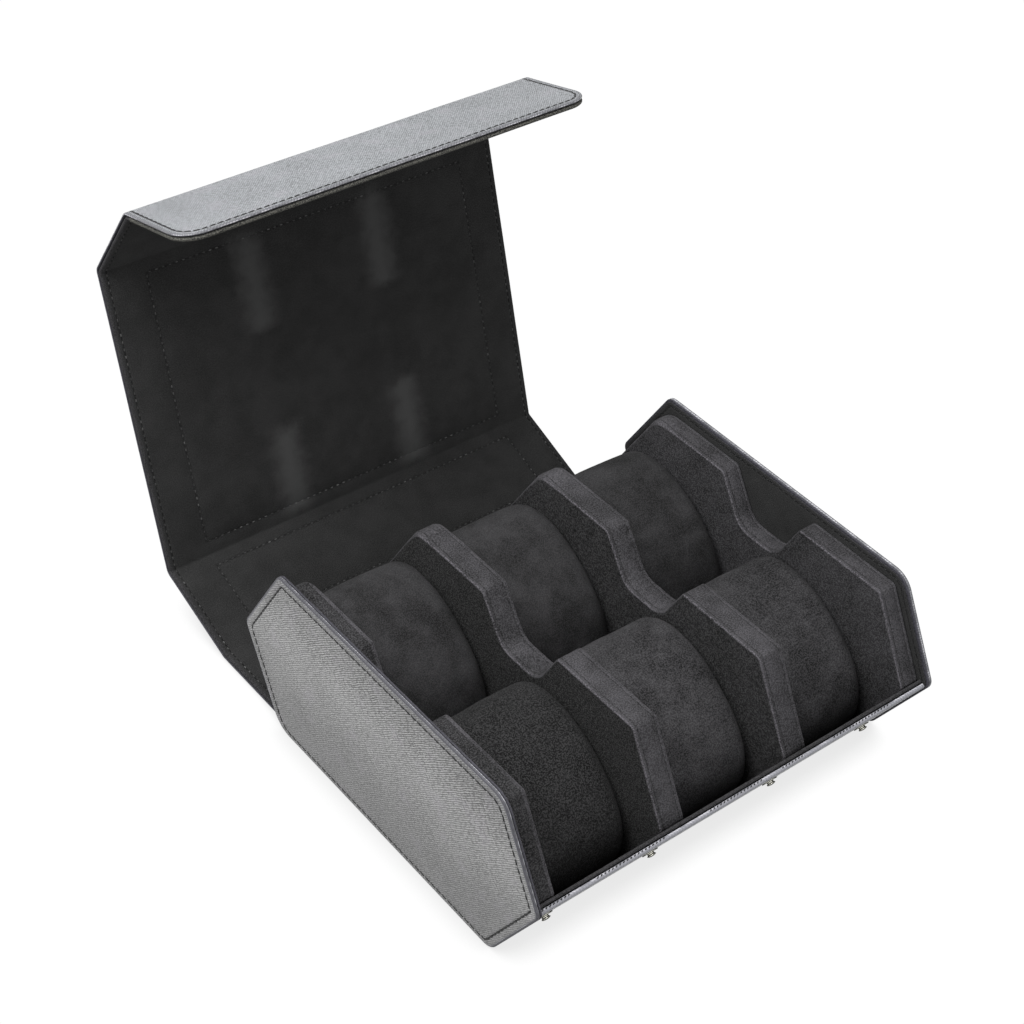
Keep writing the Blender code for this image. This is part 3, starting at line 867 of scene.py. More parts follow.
def build_flap(materials):
    """The skin and lining of the closing flap, with the sockets' holes, and its thread."""
    made = {}
    for name, profile, material, slot in (
        ("flap_skin", skin_profile(SKIN), "leather", "leather"),
        ("flap_inner_lining", lining_profile(SKIN), "flap_lining", "suede"),
    ):
        piece = Piece(name)
        flap_solid(piece, profile)
        made[name] = piece.finish([materials[material]], slot)
        cut_socket_holes(made[name])
        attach(made[name], "flap")
    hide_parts("flap_leather", "flap_board")
    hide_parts("flap_lining")
    threads = Piece("flap_edge_thread")
    path = flap_path(STITCH_INSET)
    outer = [flap_fold.point(x, run, STITCH_SEAT) for x, run in path]
    add_outer_row(threads, outer, Vector((0, *inward(flap_fold.after))))
    add_lining_row(threads, [flap_fold.point(x, run, INNER_THREAD_DEPTH) for x, run in path])
    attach(threads.finish([materials["dark_thread"], materials["light_thread"]]), "flap")


# End panels

def round_corners(corners, radii, steps):
    """Replace each corner of a flat outline by an arc of its radius."""
    outline = []
    for i, corner in enumerate(corners):
        corner = Vector(corner)
        to_last = (Vector(corners[i - 1]) - corner).normalized()
        to_next = (Vector(corners[(i + 1) % len(corners)]) - corner).normalized()
        half = to_last.angle(to_next) / 2
        middle = corner + (to_last + to_next).normalized() * (radii[i] / math.sin(half))
        start = corner + to_last * (radii[i] / math.tan(half)) - middle
        turn = math.copysign(math.pi - 2 * half, -to_last.cross(to_next))
        for step in range(steps + 1):
            outline.append(middle + Matrix.Rotation(turn * step / steps, 2) @ start)
    return outline


def hexagon(top, bottom, front_upper, front_lower, back_upper, back_lower):
    """The end panel's outline with each side moved inwards, as (y, z) corners.

    The order is top back, middle back, bottom back, bottom front, middle front, top front.
    """
    high = CASE_HEIGHT - top
    low = bottom
    middle = CASE_HEIGHT / 2
    tangent = math.tan(SLOPE_ANGLE)
    sine = math.sin(SLOPE_ANGLE)
    cosine = math.cos(SLOPE_ANGLE)

    def side(upper, lower):
        upper_reach = MIDDLE_DEPTH / 2 - upper / sine
        lower_reach = MIDDLE_DEPTH / 2 - lower / sine
        corner = ((upper_reach + lower_reach) / 2, middle + (lower - upper) / 2 / cosine)
        top_corner = (upper_reach - (high - middle) / tangent, high)
        low_corner = (lower_reach - (middle - low) / tangent, low)
        return top_corner, corner, low_corner

    back = side(back_upper, back_lower)
    front = [(-y, z) for y, z in side(front_upper, front_lower)]
    return [*back, *front[::-1]]


def end_outline(inset):
    """The end panel's outline at an inset, which is smaller along the table than elsewhere."""
    radii = (
        TOP_BACK_RADIUS, MIDDLE_BACK_RADIUS, BOTTOM_BACK_RADIUS,
        BOTTOM_FRONT_RADIUS, MIDDLE_FRONT_RADIUS, TOP_FRONT_RADIUS,
    )
    edge = min(inset, END_FIELD_INSET)
    corners = hexagon(inset, inset - edge * (1 - END_BOTTOM_SHARE), inset, inset, inset, inset)
    full = [Vector(corner) for corner in hexagon(0, 0, 0, 0, 0, 0)]
    rounded = round_corners(corners, [max(radius - inset, LEAST_RADIUS) for radius in radii], CORNER_STEPS)
    outline = []
    for i, point in enumerate(rounded):
        outline.append(point)
        corner, step = divmod(i, CORNER_STEPS + 1)
        if step == CORNER_STEPS:
            after = rounded[(i + 1) % len(rounded)]
            length = (full[(corner + 1) % len(full)] - full[corner]).length
            count = math.ceil(length / OUTLINE_STEP)
            outline += [point.lerp(after, j / count) for j in range(1, count)]
    return outline


def pucker(y, z, inset):
    """How far the soft face of an end panel sinks in, negative where it swells out."""
    within = max(0.0, inset - END_FIELD_INSET)
    start = min(1.0, within / PUCKER_START)
    fade = max(0.0, 1 - within / PUCKER_REACH)
    swell = FACE_SWELL * (1 - max(0.0, 1 - within / FACE_SWELL_REACH) ** 2)
    height = (z / CASE_HEIGHT) ** 2
    spot = Vector(((y + z / 2) / PUCKER_WIDTH, (z - y / 2) / PUCKER_LENGTH, 0.5))
    folds = 0.5 + 0.5 * noise.noise(spot)
    waves = 0.5 + 0.5 * noise.noise(Vector((y, z, WAVE_SIZE)) / WAVE_SIZE)
    return start * (PUCKER_DEPTH * fade * height * folds + WAVE_DEPTH * waves) - swell


def build_end(name, side, materials):
    """One end panel: a stitched leather face, its backing and the suede lining."""
    backing_depth = END_FACE + END_SEAM_GAP
    lining_depth = backing_depth + END_BACKING + END_LINING_GAP
    lining_groove = (STITCH_INSET + GROOVE_HALF_WIDTH / 2, END_LINING / 2, GROOVE_HALF_WIDTH)
    backing = slab_profile(backing_depth, END_BACKING, 0.0, roll=HEM_ROLL_SHARES)
    layers = (
        ("face", end_face_profile(), "end_leather", "leather"),
        ("backing", backing, "leather", "leather"),
        (
            "inner_lining",
            slab_profile(lining_depth, END_LINING, END_LINING_SETBACK, (), (lining_groove,)),
            "lining",
            "suede",
        ),
    )
    for layer, profile, material, slot in layers:
        piece = Piece(f"{name}_{layer}")
        rings = []
        for inset, depth, tone_and_painted_light in profile:
            ring = []
            for y, z in end_outline(inset):
                x = HALF_LENGTH - depth - pucker(y, z, inset)
                ring.append((Vector((side * x, y, z)), Vector((side * y, z, depth)), tone_and_painted_light))
            rings.append(ring)
        piece.loft(rings)
        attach(piece.finish([materials[material]], slot), "case_body")
    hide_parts(f"{name}_leather")
    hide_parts(f"{name}_board")
    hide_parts(f"{name}_lining")
    threads = Piece(f"{name}_thread")

    def seam(inset, depth):
        outline = end_outline(inset)
        return [Vector((side * (HALF_LENGTH - depth), *place)) for place in [*outline, outline[0]]]

    add_outer_row(threads, seam(END_STITCH_INSET, STITCH_SEAT), Vector((side, 0, 0)))
    inner_depth = lining_depth + END_LINING - LINING_STITCH_RADIUS * 0.5
    add_lining_row(threads, seam(lining_groove[0], inner_depth), 0)
    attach(threads.finish([materials["dark_thread"]]), "case_body")


# Dividers

def divider_outline(top_inset, front_inset):
    """A front and a rear hump with a dip between them."""
    corners = hexagon(
        top_inset, DIVIDER_BOTTOM_INSET, front_inset,
        DIVIDER_FRONT_LOWER_INSET, DIVIDER_REAR_INSET, DIVIDER_REAR_INSET,
    )
    high = corners[0][1]
    low = CASE_HEIGHT * DIP_HEIGHT_SHARE
    dip = [
        (TOP_DEPTH * DIP_TOP_SHARES[1], high),
        (TOP_DEPTH * DIP_FLOOR_SHARES[1], low),
        (TOP_DEPTH * DIP_FLOOR_SHARES[0], low),
        (TOP_DEPTH * DIP_TOP_SHARES[0], high),
    ]
    hump, foot, curve = DIVIDER_HUMP_RADIUS, DIVIDER_FOOT_RADIUS, DIVIDER_DIP_RADIUS
    radii = [DIVIDER_REAR_RADIUS, hump, foot, foot, hump, hump, hump, curve, curve, hump]
    rounded = round_corners(corners + dip, radii, DIVIDER_CORNER_STEPS)
    outline = []
    for a, b in zip(rounded, [*rounded[1:], rounded[0]]):
        count = max(1, math.ceil((b - a).length / OUTLINE_STEP))
        outline += [a.lerp(b, i / count) for i in range(count)]
    return outline


def outline_normals(outline):
    """Unit vectors (y, z) into the outline's area at each of its points."""
    normals = []
    area = sum(a.cross(b) for a, b in zip(outline, [*outline[1:], outline[0]]))
    turn = math.copysign(1, area)
    for i, _ in enumerate(outline):
        tangent = (outline[(i + 1) % len(outline)] - outline[i - 1]).normalized()
        normals.append(Vector((-tangent.y, tangent.x)) * turn)
    return normals


def divider_profile(thickness, side_painted_shade, rim_darkening):
    """Across the rim, from one side face to the other, as (inset, x from that face, tone and painted light).
    """
    half = []
    for i in range(DIVIDER_RIM_STEPS + 1):
        turn = math.pi / 2 * i / DIVIDER_RIM_STEPS
        # the rounded rim is lighter, partly a painted highlight, and the side face gets its painted shade
        tone_and_painted_light = math.sin(2 * turn) ** 2 if i else side_painted_shade
        half.append((DIVIDER_RIM * (1 - math.sin(turn)), DIVIDER_RIM * (1 - math.cos(turn)), tone_and_painted_light))
    seam = DIVIDER_SEAM_INSET
    width = DIVIDER_SEAM_HALF_WIDTH
    half += [(0.0, seam - width, 0.1), (DIVIDER_SEAM_DEPTH, seam, -0.8), (0.0, seam + width, rim_darkening)]
    other = [(inset, thickness - x, tone_and_painted_light) for inset, x, tone_and_painted_light in reversed(half)]
    return half + other


def rear_bulge(point):
    """How far the padding swells near the rear top corner, from 0 to 1."""
    corner = hexagon(
        DIVIDER_TOP_INSET, DIVIDER_BOTTOM_INSET, DIVIDER_FRONT_UPPER_INSET,
        DIVIDER_FRONT_LOWER_INSET, DIVIDER_REAR_INSET, DIVIDER_REAR_INSET,
    )[0]
    share = max(0.0, 1 - (point - Vector(corner)).length / REAR_BULGE_REACH)
    return share * share * (3 - 2 * share)


def build_divider(name, top_inset, front_inset, material):
    low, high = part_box(name)
    outline = divider_outline(top_inset, front_inset)
    normals = outline_normals(outline)
    thickness = high.x - low.x
    piece = Piece(name + "_suede")
    rings = []
    for inset, x, tone_and_painted_light in divider_profile(thickness, *DIVIDER_DARKENING[name]):
        ring = []
        across = 2 * x / thickness - 1
        for point, normal in zip(outline, normals):
            swell = REAR_BULGE * rear_bulge(point) * (0.5 - across ** 4)
            y, z = point + normal * (inset - swell)
            place = Vector((low.x + x, y, z))
            ring.append((place, place, min(tone_and_painted_light, rim_share(normal))))
        rings.append(ring)
    piece.loft(rings)
    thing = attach(piece.finish([material], "suede"), "case_body")
    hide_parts(name)


def rim_share(normal):
    """How much of the lighter rim, partly a painted highlight, is left: all of it, but none where the
    divider faces the back.
    """
    facing_back = -normal.dot(Vector((math.sin(SLOPE_ANGLE), math.cos(SLOPE_ANGLE))))
    return min(1.0, max(0.0, (RIM_FADE_START - facing_back) / RIM_FADE_SHARE))


# Cushions

def cushion_places(centre, seed, swell, tone_and_painted_light):
    """Rings of the tilted oval from one end to the other: crowned, with drawn-in ends."""
    low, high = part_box("front_middle_cushion")
    half = (high.x - low.x) / 2
    shoulder = half - CUSHION_EDGE
    sections = []
    for i in range(-CUSHION_ALONG, CUSHION_ALONG + 1):
        share = i / CUSHION_ALONG
        sections.append((shoulder * share, CUSHION_CROWN * share ** 2, 1.0))
    for step in range(1, CUSHION_EDGE_STEPS + 1):
        turn = math.pi / 2 * step / CUSHION_EDGE_STEPS
        x = shoulder + CUSHION_EDGE * math.sin(turn)
        inset = CUSHION_CROWN + CUSHION_EDGE * (1 - math.cos(turn))
        sections.append((x, inset, 1.0))
        sections.insert(0, (-x, inset, 1.0))
    edge_inset = CUSHION_CROWN + CUSHION_EDGE
    for share in CUSHION_END_SHARES:
        sink = CUSHION_END_SEAM if share == CUSHION_END_SHARES[0] else -CUSHION_END_DOME * (1 - share)
        sections.append((half - sink, edge_inset, share))
        sections.insert(0, (sink - half, edge_inset, share))
    tilt = Matrix.Rotation(CUSHION_TILT, 2)
    rings = []
    for x, inset, share in sections:
        ring = []
        for i in range(CUSHION_AROUND):
            turn = math.tau * i / CUSHION_AROUND
            long_half = (CUSHION_LONG / 2 - inset) * share
            short_half = (CUSHION_SHORT / 2 - inset) * share
            flat = tilt @ Vector((long_half * math.cos(turn), short_half * math.sin(turn)))
            out = tilt @ Vector((math.cos(turn) / long_half, math.sin(turn) / short_half)).normalized()
            spot = Vector((x, flat.x, flat.y)) / CUSHION_DENT_SIZE + Vector((seed, seed, seed))
            dent = CUSHION_DENT * share * (noise.noise(spot) - 0.5)
            rise = swell * share * max(0.0, out.dot(SWELL_DIRECTION)) ** 2
            y, z = flat + out * (dent + rise)
            place = centre + Vector((x, y, z))
            ring.append((place, place, tone_and_painted_light))
        rings.append(ring)
    return rings


def build_cushions(materials):
    seed = CUSHION_SEED_START
    for row, swell in CUSHION_SWELLS.items():
        for column, shade in zip(COLUMNS, CUSHION_DARKENING[row]):
            name = f"{row}_{column}_cushion"
            low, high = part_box(name)
            piece = Piece(name + "_suede")
            piece.loft(cushion_places((low + high) / 2, seed, swell, -shade))
            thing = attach(piece.finish([materials[f"{row}_cushion"]], "suede"), name)
            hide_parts(name)
            seed += CUSHION_SEED_STEP


# Snap fasteners

def lathe(name, profile, matrix, material, closed=False):
    """A turned piece from (radius, height) points, placed by a matrix."""
    turns = [math.tau * i / LATHE_STEPS for i in range(LATHE_STEPS)]
    piece = Piece(name)
    piece.loft([
        [(matrix @ Vector((radius * math.cos(t), radius * math.sin(t), height)),) for t in turns]
        for radius, height in profile
    ], closed)
    return piece.finish([material], "metal")


def dome(radius, height, base, steps):
    """Profile points of a rounded head, from its rim to near its top."""
    points = []
    for i in range(steps):
        turn = math.pi / 2 * i / steps
        points.append((radius * math.cos(turn), base + height * math.sin(turn)))
    return points


def standing_on(centre, fold, angle, depth, way):
    """Matrix that puts a turned piece at this place on a panel, its axis the given way."""
    turn = Vector((0, *way)).to_track_quat("Z", "Y").to_matrix().to_4x4()
    return Matrix.Translation((centre.x, *fold.at(run_of(centre, fold, angle), depth))) @ turn


def build_snaps(material):
    """Studs on the fixed front and sockets with two spring wires in the flap."""
    soft = STUD_SOFTNESS
    neck_end = STUD_FLANGE + STUD_NECK
    stud = [
        (STUD_FLANGE_RADIUS - soft, 0.0),
        (STUD_FLANGE_RADIUS, soft),
        (STUD_FLANGE_RADIUS, STUD_FLANGE - soft),
        (STUD_FLANGE_RADIUS - soft, STUD_FLANGE),
        (STUD_NECK_RADIUS + soft, STUD_FLANGE),
        (STUD_NECK_RADIUS, STUD_FLANGE + soft),
        (STUD_NECK_RADIUS, neck_end - soft),
        (STUD_HEAD_RADIUS - soft, neck_end + soft),
        *dome(STUD_HEAD_RADIUS, STUD_HEAD * DOME_SHARE, neck_end + STUD_HEAD * (1 - DOME_SHARE), DOME_STEPS),
    ]
    lip = SOCKET_LIP
    ring = [
        (SOCKET_BORE, lip),
        (SOCKET_BORE + lip, 0.0),
        (SOCKET_RADIUS - lip, 0.0),
        (SOCKET_RADIUS, lip),
        (SOCKET_RADIUS, SOCKET_DEPTH - lip),
        (SOCKET_RADIUS - lip, SOCKET_DEPTH),
        (SOCKET_BORE + lip * 2, SOCKET_DEPTH),
        (SOCKET_BORE + lip * 0.5, SOCKET_DEPTH - lip * 0.5),
    ]
    reach = math.sqrt((SOCKET_BORE + lip) ** 2 - SPRING_OFFSET ** 2)
    for i in range(SNAP_COUNT):
        low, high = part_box(f"snap_stud_{i + 1}")
        out = -inward(-SLOPE_ANGLE)
        matrix = standing_on((low + high) / 2, base_fold, -SLOPE_ANGLE, -STUD_GAP, out)
        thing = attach(lathe(f"stud_{i + 1}_polished", stud, matrix, material), "case_body")
        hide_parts(f"snap_stud_{i + 1}")
    for i in range(SNAP_COUNT):
        low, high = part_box(f"snap_socket_{i + 1}")
        depth = SOCKET_FLOOR_DEPTH + SOCKET_GAP
        out = inward(flap_fold.after)
        matrix = standing_on((low + high) / 2, flap_fold, flap_fold.after, depth, out)
        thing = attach(lathe(f"socket_{i + 1}_polished", ring, matrix, material, closed=True), "flap")
        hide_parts(f"snap_socket_{i + 1}")
        springs = Piece(f"socket_{i + 1}_springs")
        for side in (-1, 1):
            ends = [matrix @ Vector((x, side * SPRING_OFFSET, SOCKET_DEPTH / 2)) for x in (-reach, reach)]
            add_stitch(springs, *ends, SPRING_RADIUS, 0)
        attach(springs.finish([material], "metal"), "flap")


# Materials

class Nodes:
    """Short ways to add nodes to the tree of a material or a world."""

    def __init__(self, owner):
        owner.use_nodes = True
        self.owner = owner
        self.tree = owner.node_tree

    def add(self, kind, settings=None, **inputs):
        """Add a node. An input given as a socket is linked, and anything else is set."""
        node = self.tree.nodes.new("ShaderNode" + kind)
        for key, value in (settings or {}).items():
            setattr(node, key, value)
        for key, value in inputs.items():
            self.put(node.inputs[key.replace("_", " ")], value)
        return node

    def put(self, socket, value):
        if isinstance(value, bpy.types.NodeSocket):
            self.tree.links.new(value, socket)
        else:
            socket.default_value = value

    def maths(self, operation, *values, clamp=False):
        node = self.add("Math", {"operation": operation, "use_clamp": clamp})
        for socket, value in zip(node.inputs, values):
            self.put(socket, value)
        return node.outputs[0]

    def times(self, *values):
        return self.maths("MULTIPLY", *values)

    def plus(self, *values):
        return self.maths("ADD", *values)

    def line(self, value, slope, start):
        """The value times a slope, on top of a start."""
        return self.maths("MULTIPLY_ADD", value, slope, start)

    def sheet(self):
        return self.add("Attribute", {"attribute_name": "sheet"}).outputs["Vector"]

    def tone_and_painted_light(self):
        return self.add("Attribute", {"attribute_name": "tone_and_painted_light"}).outputs["Fac"]

    def noise(self, vector, size, detail=2.0, roughness=0.5):
        """Noise whose lumps are about one size, in metres."""
        node = self.add("TexNoise", Vector=vector, Scale=1 / size, Detail=detail, Roughness=roughness)
        return node.outputs["Fac"]

    def ramp(self, value, low, high):
        """0 below low and 1 above high, smooth between them."""
        node = self.add("MapRange", {"interpolation_type": "SMOOTHSTEP", "clamp": True})
        for key, entry in (("Value", value), ("From Min", low), ("From Max", high)):
            self.put(node.inputs[key], entry)
        return node.outputs["Result"]

    def between(self, value, low, high):
        """1 below low and 0 above high."""
        return self.maths("SUBTRACT", 1.0, self.ramp(value, low, high))

    def mix(self, factor, low, high):
        """A colour between two colours."""
        node = self.add("Mix", {"data_type": "RGBA"})
        colours = [socket for socket in node.inputs if socket.type == "RGBA"]
        for socket, value in zip((node.inputs[0], *colours), (factor, low, high)):
            self.put(socket, value)
        return next(socket for socket in node.outputs if socket.type == "RGBA")

    def bump(self, height, strength, distance):
        return self.add("Bump", Strength=strength, Distance=distance, Height=height).outputs["Normal"]

    def seen(self):
        """1 for rays from the camera and for reflections, and 0 for light."""
        rays = self.add("LightPath").outputs
        return self.maths("MAXIMUM", rays["Is Camera Ray"], rays["Is Glossy Ray"])

    def strength(self, value, **limits):
        """A value that goes evenly from To_Min to To_Max."""
        return self.add("MapRange", Value=value, **limits).outputs["Result"]

    def shade(self, **inputs):
        """Set up the material's shader and return the material."""
        shader = self.tree.nodes["Principled BSDF"]
        for key, value in inputs.items():
            self.put(shader.inputs[key.replace("_", " ")], value)
        return self.owner


def material_nodes(name):
    return Nodes(bpy.data.materials.new(name))


def grey(level, red=1.0, green=1.0, blue=1.0):
    return (level * red, level * green, level * blue, 1.0)


def ridge_wave(nodes, way, pitch):
    """A wave from 0 to 1 with a crest at every pitch."""
    return nodes.line(nodes.maths("SINE", nodes.times(way, math.tau / pitch)), 0.5, 0.5)


def hatch(nodes, place, angle):
    """Parallel ridges across the sheet, broken into dashes, as a height from 0 to 1."""
    pitch = HATCH_PITCH
    turned = nodes.add("VectorRotate", {"rotation_type": "Z_AXIS"}, Vector=place, Angle=angle)
    parts = nodes.add("SeparateXYZ", Vector=turned.outputs[0])
    wobble = nodes.noise(turned.outputs[0], HATCH_DRIFT, 1.5)
    wave = ridge_wave(nodes, nodes.plus(parts.outputs["X"], nodes.times(wobble, pitch * 1.2)), pitch)
    dash = nodes.add("VectorMath", {"operation": "MULTIPLY"})
    nodes.put(dash.inputs[0], turned.outputs[0])
    nodes.put(dash.inputs[1], (1 / pitch, 1 / (pitch * HATCH_DASH_SHARE), 1 / pitch))
    broken = nodes.ramp(nodes.noise(dash.outputs[0], 1.0, 1.0), 0.36, 0.62)
    return nodes.times(wave, nodes.line(broken, 0.6, 0.4))


def edge_threads(nodes, place):
    """Threads wound across an edge of the sheet, from 0 to 1."""
    parts = nodes.add("SeparateXYZ", Vector=place)
    way = nodes.plus(parts.outputs["X"], parts.outputs["Y"])
    drift = nodes.times(nodes.noise(place, EDGE_THREAD_DRIFT), EDGE_THREAD_PITCH)
    return ridge_wave(nodes, nodes.plus(way, drift), EDGE_THREAD_PITCH)


def make_leather(name, tint, strip_levels=(0.09, 0.15), with_painted_light=False):
    """Cross-hatched leather with smooth rolled edges and a painted highlight on their crests, painted shade
    in the grooves, and on the end panels a painted band of light.
    """
    nodes = material_nodes(name)
    sheet = nodes.sheet()
    tone_and_painted_light = nodes.tone_and_painted_light()
    strip = nodes.ramp(tone_and_painted_light, 0.15, 0.6)
    # the crest of a rolled edge, where a painted highlight goes
    crest = nodes.times(nodes.ramp(tone_and_painted_light, 0.88, 1.0), nodes.between(tone_and_painted_light, 1.0, 1.35))
    hem = nodes.ramp(tone_and_painted_light, 1.15, 1.7)
    one, two = (hatch(nodes, sheet, angle) for angle in HATCH_ANGLES)
    ridges = nodes.plus(nodes.times(one, 0.62), nodes.times(two, 0.42))
    pores = nodes.noise(sheet, PORE_SIZE, 2.0, 0.6)
    clouds = nodes.noise(sheet, CLOUD_SIZE, 3.0, 0.55)
    height = nodes.plus(ridges, nodes.times(pores, 0.6))
    tone = nodes.plus(height, nodes.times(clouds, 0.3))
    tone = nodes.ramp(tone, 0.45, 1.25)
    colour = nodes.mix(tone, grey(VALLEY_LEVEL, *tint), grey(RIDGE_LEVEL, *tint))
    bloom = nodes.ramp(nodes.noise(sheet, CLOUD_SIZE / 2, 3.0, 0.6), 0.48, 0.75)
    colour = nodes.mix(nodes.times(bloom, 0.35), colour, grey(*BLOOM))
    # the end panels get a painted band of light
    if with_painted_light:
        colour = paint_light_band(nodes, sheet, colour, ridges)
    threads = edge_threads(nodes, sheet)
    low, high = (grey(level, *shade) for level, shade in zip(strip_levels, STRIP_TINTS))
    colour = nodes.mix(strip, colour, nodes.mix(threads, low, high))
    patches = nodes.ramp(nodes.noise(sheet, THREAD_PATCH_SIZE, 3.0, 0.6), 0.4, 0.62)
    # painted highlight along the crests, broken by the threads and shown in patches
    painted_glint = nodes.times(nodes.times(crest, nodes.line(threads, 0.7, 0.3)), patches)
    colour = nodes.mix(painted_glint, colour, grey(*PAINTED_GLINT))
    specks = nodes.ramp(pores, 0.35, 0.65)
    colour = nodes.mix(hem, colour, nodes.mix(specks, grey(*HEM_DARK), grey(*HEM_LIGHT)))
    # painted shade down in the grooves, where the tone is below zero
    painted_groove_shade = nodes.ramp(nodes.times(tone_and_painted_light, -1.0), 0.1, 0.9)
    colour = nodes.mix(nodes.times(painted_groove_shade, 0.55), colour, grey(GROOVE_SHADE_LEVEL))
    rough = nodes.line(pores, 0.22, 0.32)
    rough = nodes.plus(rough, nodes.times(hem, 0.3))
    plain = nodes.maths("SUBTRACT", 1.0, strip)
    height = nodes.line(height, plain, nodes.times(threads, 0.4))
    return nodes.shade(
        Base_Color=colour, Roughness=rough, Normal=nodes.bump(height, 0.7, LEATHER_RELIEF),
        Specular_IOR_Level=0.5,
        Sheen_Weight=0.25, Sheen_Roughness=0.25, Sheen_Tint=grey(1.0, 0.97, 0.97, 1.0),
    )


def paint_light_band(nodes, sheet, colour, ridges):
    """The leather's colour with painted light: darkest at the bottom, brightest at mid height and a little
    less at the top, with painted shade in the hatch's valleys towards the top.
    """
    height = nodes.add("SeparateXYZ", Vector=sheet).outputs["Y"]
    rise = nodes.ramp(height, PAINTED_LIGHT_LOW, PAINTED_LIGHT_MIDDLE)
    fall = nodes.ramp(height, PAINTED_LIGHT_MIDDLE, PAINTED_LIGHT_HIGH)
    band = nodes.times(rise, nodes.line(fall, -0.4, 1.0))
    strength = nodes.line(band, 0.56, 0.92)
    # painted shade in the hatch's valleys towards the top
    lines = nodes.times(nodes.between(ridges, 0.1, 0.5), nodes.ramp(height, PAINTED_HATCH_SHADE_LOW, PAINTED_HATCH_SHADE_HIGH))
    strength = nodes.times(strength, nodes.line(lines, -0.45, 1.0))
    scaled = nodes.add("VectorMath", {"operation": "SCALE"}, Scale=strength)
    nodes.put(scaled.inputs[0], colour)
    return scaled.outputs[0]


def make_suede(name, dark, light, rim, grain=0.7, fibre=FINE_FIBRE, sheen=0.02, marked=False):
    """Short fibres, the soft patches that hands leave in the nap, fuzzy rims that on the dividers are partly
    a painted highlight, and darkening where the tone is below zero, which is painted shade in grooves and on
    the dividers' sides.
    """
    nodes = material_nodes(name)
    sheet = nodes.sheet()
    fibres = nodes.noise(sheet, fibre, 2.5, 0.7)
    strokes = nodes.noise(sheet, STROKE_SIZE, 2.0, 0.5)
    patches = nodes.noise(sheet, PATCH_SIZE, 2.0, 0.5)
    nap = nodes.ramp(nodes.plus(nodes.times(strokes, 0.45), nodes.times(patches, 0.55)), 0.32, 0.68)
    speckle = nodes.ramp(fibres, 0.37, 0.64)
    tone = nodes.plus(nodes.times(nap, 1 - grain), nodes.times(speckle, grain))
    colour = nodes.mix(tone, grey(*dark), grey(*light))
    tone_and_painted_light = nodes.tone_and_painted_light()
    # lighter fuzzy rims where the tone is above zero, partly loose fibres and partly a painted highlight
    fuzz_and_painted_highlight = nodes.times(nodes.ramp(tone_and_painted_light, 0.1, 1.0), nodes.ramp(fibres, 0.4, 0.62))
    colour = nodes.mix(fuzz_and_painted_highlight, colour, grey(*rim))
    # darker where the tone is below zero: painted shade in grooves and on the dividers' sides; also darker
    # cushions and rims
    shade = nodes.maths("MULTIPLY", tone_and_painted_light, -1.0, clamp=True)
    flecks = nodes.mix(nodes.ramp(fibres, 0.42, 0.64), grey(0.001), grey(0.52 * grey(*light)[0]))
    colour = nodes.mix(shade, colour, flecks)
    if marked:
        colour = divider_marks(nodes, sheet, colour)
    height = nodes.plus(fibres, nodes.times(strokes, 0.8))
    return nodes.shade(
        Base_Color=colour, Roughness=0.95, Normal=nodes.bump(height, 0.9, SUEDE_RELIEF),
        Specular_IOR_Level=0.15, Sheen_Weight=sheen, Sheen_Roughness=0.5, Sheen_Tint=grey(0.8),
    )


def make_lining(name, rim):
    """The wrap's lining, which the dividers have marked."""
    return make_suede(name, LINING_DARK, LINING_LIGHT, rim, sheen=0.04, marked=True)


def divider_marks(nodes, sheet, colour):
    """The lining's colour, with lighter marks where the dividers press against the lid."""
    parts = nodes.add("SeparateXYZ", Vector=sheet)
    spread = nodes.maths("ABSOLUTE", parts.outputs["X"])
    offset = nodes.maths("ABSOLUTE", nodes.maths("SUBTRACT", spread, DIVIDER_X))
    soft = nodes.line(nodes.noise(sheet, MARK_EDGE_SIZE), MARK_EDGE_SHIFT, -MARK_EDGE_SHIFT / 2)
    across = nodes.between(nodes.plus(offset, soft), 0.0, MARK_HALF_WIDTH)
    run = nodes.plus(nodes.maths("SUBTRACT", parts.outputs["Y"], lid_fold.run), soft)
    rear, front = (
        nodes.times(nodes.ramp(run, *runs[:2]), nodes.between(run, *runs[2:]))
        for runs in (REAR_MARK_RUNS, FRONT_MARK_RUNS)
    )
    mark = nodes.times(across, nodes.plus(rear, front))
    return nodes.mix(nodes.times(mark, 0.85), colour, grey(MARK_LEVEL))


def make_thread(name, level):
    nodes = material_nodes(name)
    place = nodes.sheet()
    twist = nodes.noise(place, THREAD_TWIST, 2.0)
    patches = nodes.ramp(nodes.noise(place, THREAD_PATCH_SIZE, 3.0, 0.6), 0.45, 0.7)
    # brighter in patches where the twist shows: painted glints along the thread
    colour = nodes.mix(nodes.times(patches, twist), grey(level * 0.25), grey(level * 2.5))
    return nodes.shade(Base_Color=colour, Roughness=0.7, Normal=nodes.bump(twist, 0.6, THREAD_RELIEF))


def make_nickel():
    """Nickel with painted reflections: bright where it faces the eye and dark where it turns away."""
    nodes = material_nodes("polished_nickel")
    marks = nodes.noise(nodes.sheet(), NICKEL_MARK_SIZE, 3.0)
    rough = nodes.line(marks, 0.18, 0.1)
    painted_dark_reflection = nodes.ramp(nodes.add("LayerWeight", Blend=0.5).outputs["Facing"], 0.05, 0.34)
    colour = nodes.mix(marks, (0.74, 0.73, 0.62, 1.0), (0.88, 0.87, 0.80, 1.0))
    # painted dark reflection where the metal turns away from the eye
    colour = nodes.mix(painted_dark_reflection, colour, (0.05, 0.05, 0.04, 1.0))
    return nodes.shade(Base_Color=colour, Roughness=rough, Metallic=1.0)


